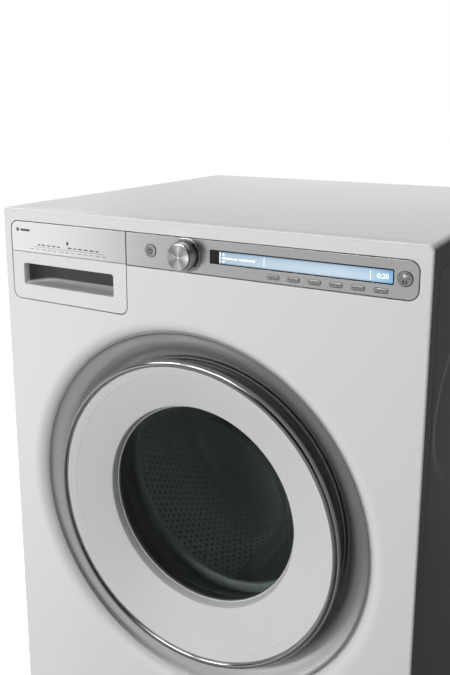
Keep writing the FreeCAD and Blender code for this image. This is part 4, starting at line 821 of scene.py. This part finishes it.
drawer_face()
slab("drawer_riser", -281.0, 790.25, -88.5, 831.0, (1.0, 1.0, 1.0, 9.0), 3.6, 24.0, 0.6, "drawer", M["drawer"])
slab("drawer_strip", DR["x0"], 790.8, DR["x1"], 832.0, (0.3, 0.3, 0.3, 11.0), 0.2, 3.2, 0.45, "drawer", M["trim"], replaces=["drawer_trim"])

# generic marks on the strip: a short bar pair, a drop and two ruled lines
def mark(name, loop, y, body, mat, depth=0.12, put=None):
    chain = [(loop, y - depth), (loop, y + 0.05)]
    return plate(name, chain, [], body, mat, 30.0, (), False, put)


mark("drawer_mark_a", box_ring(-273.4, 818.4, -268.8, 823.0, 0.9), 0.2, "drawer", M["dark_grey"], 0.06)
mark("drawer_mark_b", box_ring(-266.0, 818.9, -249.0, 822.1, 1.3), 0.2, "drawer", M["dark_grey"], 0.06)
drop = [(-183.0 + 2.1 * math.sin(t) * (1.0 if math.cos(t) < 0 else max(0.0, 1 - math.cos(t)) ** 0.8), 808.6 + 2.9 * math.cos(t)) for t in [2 * math.pi * (k + 0.5) / 28 for k in range(28)]]
mark("drawer_mark_drop", drop[::-1], 0.2, "drawer", M["dark_grey"], 0.06)
for k, (xa, xb) in enumerate([(-235, -231), (-229, -222), (-219, -213), (-210, -204), (-201, -196), (-183, -176), (-173, -168), (-165, -158), (-155, -149), (-146, -139), (-136, -131)]):
    mark(f"drawer_tick_{k}", box_ring(xa, 801.3, xb, 802.9, 0.6), 0.2, "drawer", M["dark_grey"], 0.05)
for k in range(13):
    xa = -249.0 + k * 10.3
    mark(f"drawer_tick_low_{k}", box_ring(xa, 795.4, xa + (6.8, 4.6, 7.6)[k % 3], 796.4, 0.35), 0.2, "drawer", M["pale_grey"], 0.04)
mark("drawer_rule", box_ring(-243.0, 798.9, -121.0, 799.3, 0.15), 0.2, "drawer", M["dark_grey"], 0.05)

# ------------------------------------------------------------------ control strip
def strip():
    x0, x1, z0, z1 = -86.5, 282.8, 790.2, 832.0
    def mk(i):
        return box_ring(x0, z0, x1, z1, (0.3, 11.0, 11.0, 0.3), i, 10)
    outer = edge_chain(mk, 0.5, 0.2, 4) + edge_chain(mk, 0.3, 3.2, 2, way=-1)[::-1]
    def hole_disc(cx, cz, r, e=0.3, n=64):
        return [(disc_ring(cx, cz, r + e * (1 - math.sin(t)), n), 0.2 + e * (1 - math.cos(t))) for t in [math.pi / 2 * k / 3 for k in range(4)]] + [(disc_ring(cx, cz, r, n), 3.2)]
    holes = [hole_disc(*BTN["power"], 8.35), hole_disc(*BTN["start"], 8.35), hole_disc(KX, KZ, 9.0)]
    def hole_box(a, b, c, d, r, e=0.3):
        return [(box_ring(a, b, c, d, r, -e * (1 - math.sin(t))), 0.2 + e * (1 - math.cos(t))) for t in [math.pi / 2 * k / 3 for k in range(4)]] + [(box_ring(a, b, c, d, r), 3.2)]
    holes.append(hole_box(35.7, 804.3, 256.8, 821.1, 1.8))
    for cx, cz in OPT:
        holes.append(hole_box(cx - 7.8, cz - 2.8, cx + 7.8, cz + 2.8, 2.7))
    return plate("control_strip", outer, holes, "cabinet", M["strip"], 34.0, ["control_fascia"])


def centre_of(node):
    lo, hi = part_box(node)
    return ((lo.x + hi.x) * 500, (lo.z + hi.z) * 500)


BTN = {"power": centre_of("power_button"), "start": centre_of("start_button")}
OPT = [centre_of(f"option_button_{i}") for i in range(1, 7)]
strip()

# knob collar and knob
lathe("knob_collar", soften([(17.7, 0.15), (17.7, -2.2), (18.4, -3.2), (20.2, -3.2), (21.0, -2.4), (21.0, 0.15)], 0.35, 3), "cabinet", M["collar"], centre=(KX, KZ), seg=128)
KNOB = [(0.0, -19.55), (6.0, -19.6), (14.3, -19.88), (14.7, -20.0), (15.1, -19.9), (15.45, -19.6), (16.75, -17.6), (16.95, -17.0), (17.0, -16.4), (17.0, -3.2), (16.8, -2.6), (16.2, -2.2), (15.6, -1.8), (15.6, -1.0), (7.6, -1.0), (7.6, 8.0), (3.0, 8.0), (3.0, 12.0), (0.0, 12.0)]
lathe("knob_body", KNOB, "knob", M["knob"], centre=(KX, KZ), seg=160, closed=False, sharp=28, replaces=["program_knob"])
mark("knob_dot", disc_ring(KX, KZ, 1.5, 24), -19.5, "knob", M["paint_white"], 0.16)
mark("knob_pointer", box_ring(KX - 0.55, KZ + 7.6, KX + 0.55, KZ + 12.2, 0.5), -19.6, "knob", M["paint_white"], 0.3)

# round keys
def key(name, node, body, cx, cz):
    prof = [(0.0, -0.72), (5.0, -0.76), (7.0, -0.9), (7.55, -0.98), (7.85, -0.8), (8.0, -0.4), (8.0, 4.0), (6.0, 4.0), (6.0, 8.0), (0.0, 8.0)]
    return lathe(name, prof, body, M["key"], centre=(cx, cz), seg=96, closed=False, sharp=30, replaces=[node])


key("power_key_cap", "power_button", "power_key", *BTN["power"])
key("start_key_cap", "start_button", "start_key", *BTN["start"])


def arc_band(cx, cz, r0, r1, a0, a1, n=24):
    pts = [(cx + r1 * math.cos(a0 + (a1 - a0) * i / n), cz + r1 * math.sin(a0 + (a1 - a0) * i / n)) for i in range(n + 1)]
    pts += [(cx + r0 * math.cos(a1 - (a1 - a0) * i / n), cz + r0 * math.sin(a1 - (a1 - a0) * i / n)) for i in range(n + 1)]
    return pts


px, pz = BTN["power"]
mark("power_mark_ring", arc_band(px, pz - 0.4, 2.3, 3.5, math.radians(125), math.radians(415), 28), -0.74, "power_key", M["ink"], 0.1)
mark("power_mark_bar", box_ring(px - 0.55, pz - 0.2, px + 0.55, pz + 4.0, 0.4), -0.74, "power_key", M["ink"], 0.1)
sx, sz = BTN["start"]
mark("start_mark_play", ring([(sx - 2.0, sz + 0.9, 0.15), (sx + 2.2, sz + 3.3, 0.15), (sx - 2.0, sz + 5.6, 0.15)], 0, 3), -0.78, "start_key", M["paint_white"], 0.14)
for k, dx in enumerate((-1.9, 1.5)):
    mark(f"start_mark_bar_{k}", box_ring(sx + dx - 0.65, sz - 5.2, sx + dx + 0.65, sz - 1.4, 0.3), -0.78, "start_key", M["ink"], 0.14)

# option keys with small raised marks
for k, (cx, cz) in enumerate(OPT):
    def mk(i, cx=cx, cz=cz):
        return box_ring(cx - 7.5, cz - 2.3, cx + 7.5, cz + 2.3, 2.25, i, 8)
    chain = edge_chain(mk, 0.6, -0.45, 4) + [(mk(0.0), 3.8), (mk(0.6), 4.2), (mk(1.6), 4.2), (mk(1.6), 8.2)]
    plate(f"option_cap_{k + 1}", chain, [], f"option_key_{k + 1}", M["pill"], 34.0, [f"option_button_{k + 1}"])
    for j, (a, b, w, h) in enumerate([(-4.8, 0.2, 1.5, 0.55), (-2.2, -0.3, 0.9, 0.8), (0.0, 0.3, 1.3, 0.45), (2.4, -0.2, 0.9, 0.7), (4.8, 0.1, 1.0, 0.5)]):
        mark(f"option_{k + 1}_mark_{j}", box_ring(cx + a - w / 1.2, cz + b - h, cx + a + w / 1.2, cz + b + h, 0.3, 0, 3), -0.45, f"option_key_{k + 1}", M["dark_grey"], 0.05)

# ------------------------------------------------------------------ display
def window():
    def mk(i):
        return box_ring(36.0, 804.6, 256.5, 820.8, 1.5, i, 6)
    outer = edge_chain(mk, 0.3, 0.1, 3) + [(mk(0.0), 2.4)]
    return plate("display_cover", outer, [], "cabinet", M["black_glass"], 34.0, ["display_window"])


window()
slab("display_light", LCD[0], LCD[1], LCD[2], LCD[3], 0.6, 0.04, 0.5, 0.03, "cabinet", M["lcd"], n=4)
mark("display_edge_bar", box_ring(49.2, 806.3, 50.0, 819.3, 0.2, 0, 2), 0.04, "cabinet", M["lit"], 0.03)
for k, x in enumerate((107.0, 231.5)):
    mark(f"display_divider_{k}", box_ring(x - 0.22, 807.4, x + 0.22, 818.4, 0.2, 0, 2), 0.04, "cabinet", M["lit"], 0.03)
mark("display_up", ring([(52.2, 816.2, 0.1), (56.2, 816.2, 0.1), (54.2, 818.6, 0.1)], 0, 2), 0.04, "cabinet", M["lit"], 0.03)
mark("display_down", ring([(54.2, 807.0, 0.1), (56.2, 809.4, 0.1), (52.2, 809.4, 0.1)], 0, 2), 0.04, "cabinet", M["lit"], 0.03)
for k, (a, b, c) in enumerate([(52.4, 57.0, 4.6), (58.4, 62.0, 3.4), (63.2, 66.6, 3.4), (67.8, 72.4, 3.4), (75.0, 77.2, 3.4), (78.2, 81.6, 3.4), (82.6, 84.4, 4.6), (85.2, 87.2, 3.4), (88.2, 91.6, 3.4), (92.6, 95.4, 4.4)]):
    mark(f"display_bar_{k}", box_ring(a, 811.6, b, 811.6 + c * 0.5, 0.5, 0, 4), 0.04, "cabinet", M["lit"], 0.03)


def digits(name, text, x, z, size, body, mat):
    cu = bpy.data.curves.new(name + "_text", "FONT")
    cu.body, cu.size, cu.align_x, cu.align_y = text, size * 0.001, "CENTER", "CENTER"
    cu.extrude = 0.00002
    cu.offset = 0.0
    tmp = bpy.data.objects.new(name + "_text", cu)
    bpy.context.scene.collection.objects.link(tmp)
    bpy.context.view_layer.update()
    mesh = bpy.data.meshes.new_from_object(tmp)
    bpy.data.objects.remove(tmp)
    mesh.transform(Matrix.Translation(P(x, 0.02, z)) @ Matrix.Rotation(math.pi / 2, 4, "X"))
    mesh.materials.clear()
    mesh.materials.append(mat)
    mesh.name = name
    ob = bpy.data.objects.new(name, mesh)
    bpy.context.scene.collection.objects.link(ob)
    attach(ob, body)
    return ob


digits("display_time", "0:20", 245.0, 812.6, 7.4, "cabinet", M["lit"])

# ------------------------------------------------------------------ stage, lights, camera
def shine(nt, x, y):
    """Sideways share of the level direction (x, y), from -1 at the far left to 1 at the far right; the SHINE ramp turns
    it into how bright a mirror finds the studio: bright at the left, mid grey ahead, dark at the right
    """
    h = calc(nt, "SQRT", calc(nt, "ADD", calc(nt, "MULTIPLY", x, x), calc(nt, "MULTIPLY", y, y)))
    s = calc(nt, "DIVIDE", x, calc(nt, "MAXIMUM", h, 0.001))
    return s


def floor():
    m, nt, out = new_mat("stage_floor")
    lp = nt.nodes.new("ShaderNodeLightPath")
    seen = nt.nodes.new("ShaderNodeAddShader")
    d = add(nt, "ShaderNodeBsdfDiffuse", Color=(0.86, 0.86, 0.86, 1))
    e = add(nt, "ShaderNodeEmission", Color=(1, 1, 1, 1), Strength=FLOOR_GLOW)
    nt.links.new(d.outputs[0], seen.inputs[0])
    nt.links.new(e.outputs[0], seen.inputs[1])
    geo = nt.nodes.new("ShaderNodeNewGeometry")
    sep = nt.nodes.new("ShaderNodeSeparateXYZ")
    nt.links.new(geo.outputs["Position"], sep.inputs[0])
    side = remap(nt, sep.outputs["X"], -0.9, 0.35, FLOOR_LEFT, FLOOR_RIGHT)
    bounce = nt.nodes.new("ShaderNodeEmission")
    nt.links.new(side, bounce.inputs["Strength"])
    gloss = nt.nodes.new("ShaderNodeEmission")
    s = shine(nt, sep.outputs["X"], sep.outputs["Y"])
    level = ramp(nt, remap(nt, s, -1.0, 1.0, 0.0, 1.0), SHINE)
    nt.links.new(level, gloss.inputs["Color"])
    away = calc(nt, "SUBTRACT", sep.outputs["Y"], -0.28)
    far = calc(nt, "SQRT", calc(nt, "ADD", calc(nt, "MULTIPLY", sep.outputs["X"], sep.outputs["X"]), calc(nt, "MULTIPLY", away, away)))
    near = remap(nt, far, 0.5, 1.4, 0.55, 1.0)
    behind = calc(nt, "MULTIPLY", remap(nt, sep.outputs["Y"], -0.3, 0.3, 0.0, 1.0), remap(nt, sep.outputs["X"], 0.2, 0.6, 0.0, 0.8))
    nt.links.new(calc(nt, "MULTIPLY", near, calc(nt, "SUBTRACT", 1.0, behind)), gloss.inputs["Strength"])
    mix0 = nt.nodes.new("ShaderNodeMixShader")
    nt.links.new(lp.outputs["Is Glossy Ray"], mix0.inputs[0])
    nt.links.new(bounce.outputs[0], mix0.inputs[1])
    nt.links.new(gloss.outputs[0], mix0.inputs[2])
    mix = nt.nodes.new("ShaderNodeMixShader")
    nt.links.new(lp.outputs["Is Camera Ray"], mix.inputs[0])
    nt.links.new(mix0.outputs[0], mix.inputs[1])
    nt.links.new(seen.outputs[0], mix.inputs[2])
    finish_mat(nt, mix, out)
    mesh = bpy.data.meshes.new("stage")
    n, r = 96, 400.0
    mesh.from_pydata([(0, 0, -0.0005)] + [(r * math.cos(2 * math.pi * i / n), r * math.sin(2 * math.pi * i / n), -0.0005) for i in range(n)], [], [(0, 1 + i, 1 + (i + 1) % n) for i in range(n)])
    mesh.materials.append(m)
    ob = bpy.data.objects.new("stage", mesh)
    bpy.context.scene.collection.objects.link(ob)


# levels found by a mirror, against the sideways share of its direction: 0 is far left, 0.5 ahead, 1 far right
SHINE = [(0.0, (0.45,) * 3), (0.06, (0.75,) * 3), (0.10, (1.0,) * 3), (0.13, (1.15,) * 3), (0.175, (1.15,) * 3), (0.20, (0.60,) * 3), (0.22, (0.50,) * 3), (0.5, (0.48,) * 3), (0.62, (0.42,) * 3), (0.8, (0.16,) * 3), (1.0, (0.08,) * 3)]
SOFTBOX = 11.0
FLOOR_GLOW, FLOOR_LEFT, FLOOR_RIGHT = 0.94, 0.48, 0.05
floor()


def world():
    w = bpy.data.worlds.new("studio")
    w.use_nodes = True
    nt = w.node_tree
    nt.nodes.clear()
    out = nt.nodes.new("ShaderNodeOutputWorld")
    lp = nt.nodes.new("ShaderNodeLightPath")
    tc = nt.nodes.new("ShaderNodeTexCoord")
    sep = nt.nodes.new("ShaderNodeSeparateXYZ")
    nt.links.new(tc.outputs["Generated"], sep.inputs[0])
    level = remap(nt, sep.outputs["X"], -0.55, 0.30, 0.20, 0.05)
    lit = nt.nodes.new("ShaderNodeBackground")
    nt.links.new(level, lit.inputs["Strength"])
    s = shine(nt, sep.outputs["X"], sep.outputs["Y"])
    side = ramp(nt, remap(nt, s, -1.0, 1.0, 0.0, 1.0), SHINE)
    tall = calc(nt, "MULTIPLY", remap(nt, sep.outputs["Z"], 0.50, 0.55, 0.0, 1.0), remap(nt, sep.outputs["Z"], 0.66, 0.72, 1.0, 0.0))
    wide = calc(nt, "MULTIPLY", remap(nt, s, -0.70, -0.62, 0.0, 1.0), remap(nt, s, -0.15, -0.08, 1.0, 0.0))
    ahead = remap(nt, sep.outputs["Y"], -0.05, 0.0, 1.0, 0.0)
    box = calc(nt, "MULTIPLY", calc(nt, "MULTIPLY", tall, wide), ahead)
    band = calc(nt, "MULTIPLY", remap(nt, sep.outputs["Y"], -0.42, -0.32, 0.0, 1.0), remap(nt, sep.outputs["Y"], 0.06, 0.14, 1.0, 0.0))
    band = calc(nt, "MULTIPLY", band, remap(nt, sep.outputs["Z"], 0.55, 0.62, 0.0, 1.0))
    along = ramp(nt, remap(nt, sep.outputs["X"], -1.0, 1.0, 0.0, 1.0), [(0.075, (0.0,) * 3), (0.11, (1.0,) * 3), (0.21, (1.0,) * 3), (0.23, (0.30,) * 3), (0.26, (0.30,) * 3), (0.28, (0.80,) * 3), (0.55, (0.80,) * 3), (0.66, (0.0,) * 3)])
    boxes = calc(nt, "MULTIPLY_ADD", calc(nt, "MULTIPLY", band, along), 0.9, calc(nt, "MULTIPLY", box, 0.12))
    dim = remap(nt, sep.outputs["Z"], 0.10, 0.40, 1.0, 0.22)
    behind = calc(nt, "MULTIPLY", remap(nt, sep.outputs["Y"], 0.0, 0.2, 0.0, 1.0), remap(nt, sep.outputs["X"], 0.02, 0.15, 0.0, 0.8))
    high = calc(nt, "MULTIPLY", calc(nt, "MULTIPLY_ADD", boxes, SOFTBOX, dim), calc(nt, "SUBTRACT", 1.0, behind))
    gloss = nt.nodes.new("ShaderNodeBackground")
    nt.links.new(side, gloss.inputs["Color"])
    nt.links.new(high, gloss.inputs["Strength"])
    mix0 = nt.nodes.new("ShaderNodeMixShader")
    nt.links.new(lp.outputs["Is Glossy Ray"], mix0.inputs[0])
    nt.links.new(lit.outputs[0], mix0.inputs[1])
    nt.links.new(gloss.outputs[0], mix0.inputs[2])
    plain = nt.nodes.new("ShaderNodeBackground")
    plain.inputs["Strength"].default_value = 1.0
    plain.inputs["Color"].default_value = (1, 1, 1, 1)
    mix = nt.nodes.new("ShaderNodeMixShader")
    nt.links.new(lp.outputs["Is Camera Ray"], mix.inputs[0])
    nt.links.new(mix0.outputs[0], mix.inputs[1])
    nt.links.new(plain.outputs[0], mix.inputs[2])
    nt.links.new(mix.outputs[0], out.inputs["Surface"])
    bpy.context.scene.world = w


world()


def area(name, loc, target, sx, sy, power, colour=(1, 1, 1), spread=180):
    l = bpy.data.lights.new(name, "AREA")
    l.shape, l.size, l.size_y, l.energy, l.color = "RECTANGLE", sx, sy, power, colour
    l.spread = math.radians(spread)
    ob = bpy.data.objects.new(name, l)
    bpy.context.scene.collection.objects.link(ob)
    ob.location = loc
    ob.rotation_mode = "QUATERNION"
    ob.rotation_quaternion = (Vector(target) - Vector(loc)).to_track_quat("-Z", "Y")
    ob.visible_glossy = False
    return ob


area("key", (-0.78, -2.85, 1.0), (0.05, -0.28, 0.60), 1.2, 1.5, 57.5)
area("left", (-2.3, -1.4, 1.2), (0.0, -0.1, 0.6), 1.2, 1.2, 2)
area("over", (-0.10, 0.80, 2.5), (0.0, 0.2, 0.8), 0.8, 1.4, 33)

cam = bpy.data.cameras.new("camera")
cam_ob = bpy.data.objects.new("camera", cam)
bpy.context.scene.collection.objects.link(cam_ob)
yaw, pitch, roll = math.radians(29.484), math.radians(11.304), math.radians(0.089)
forward = Vector((-math.sin(yaw) * math.cos(pitch), math.cos(yaw) * math.cos(pitch), -math.sin(pitch)))
right = forward.cross(Vector((0, 0, 1))).normalized()
up = right.cross(forward)
r2 = right * math.cos(roll) + up * math.sin(roll)
u2 = r2.cross(forward)
rot = Matrix((r2, u2, -forward)).transposed().to_4x4()
cam_ob.matrix_world = Matrix.Translation((0.47210, -1.01616, 0.98287)) @ rot
cam.sensor_width, cam.lens = 36.0, 39.485
cam.shift_x, cam.shift_y = -0.00102, -0.1194
cam.clip_start, cam.clip_end = 0.01, 2000.0
bpy.context.scene.camera = cam_ob
bpy.context.scene.view_settings.view_transform = "Standard"
bpy.context.scene.view_settings.look = "None"
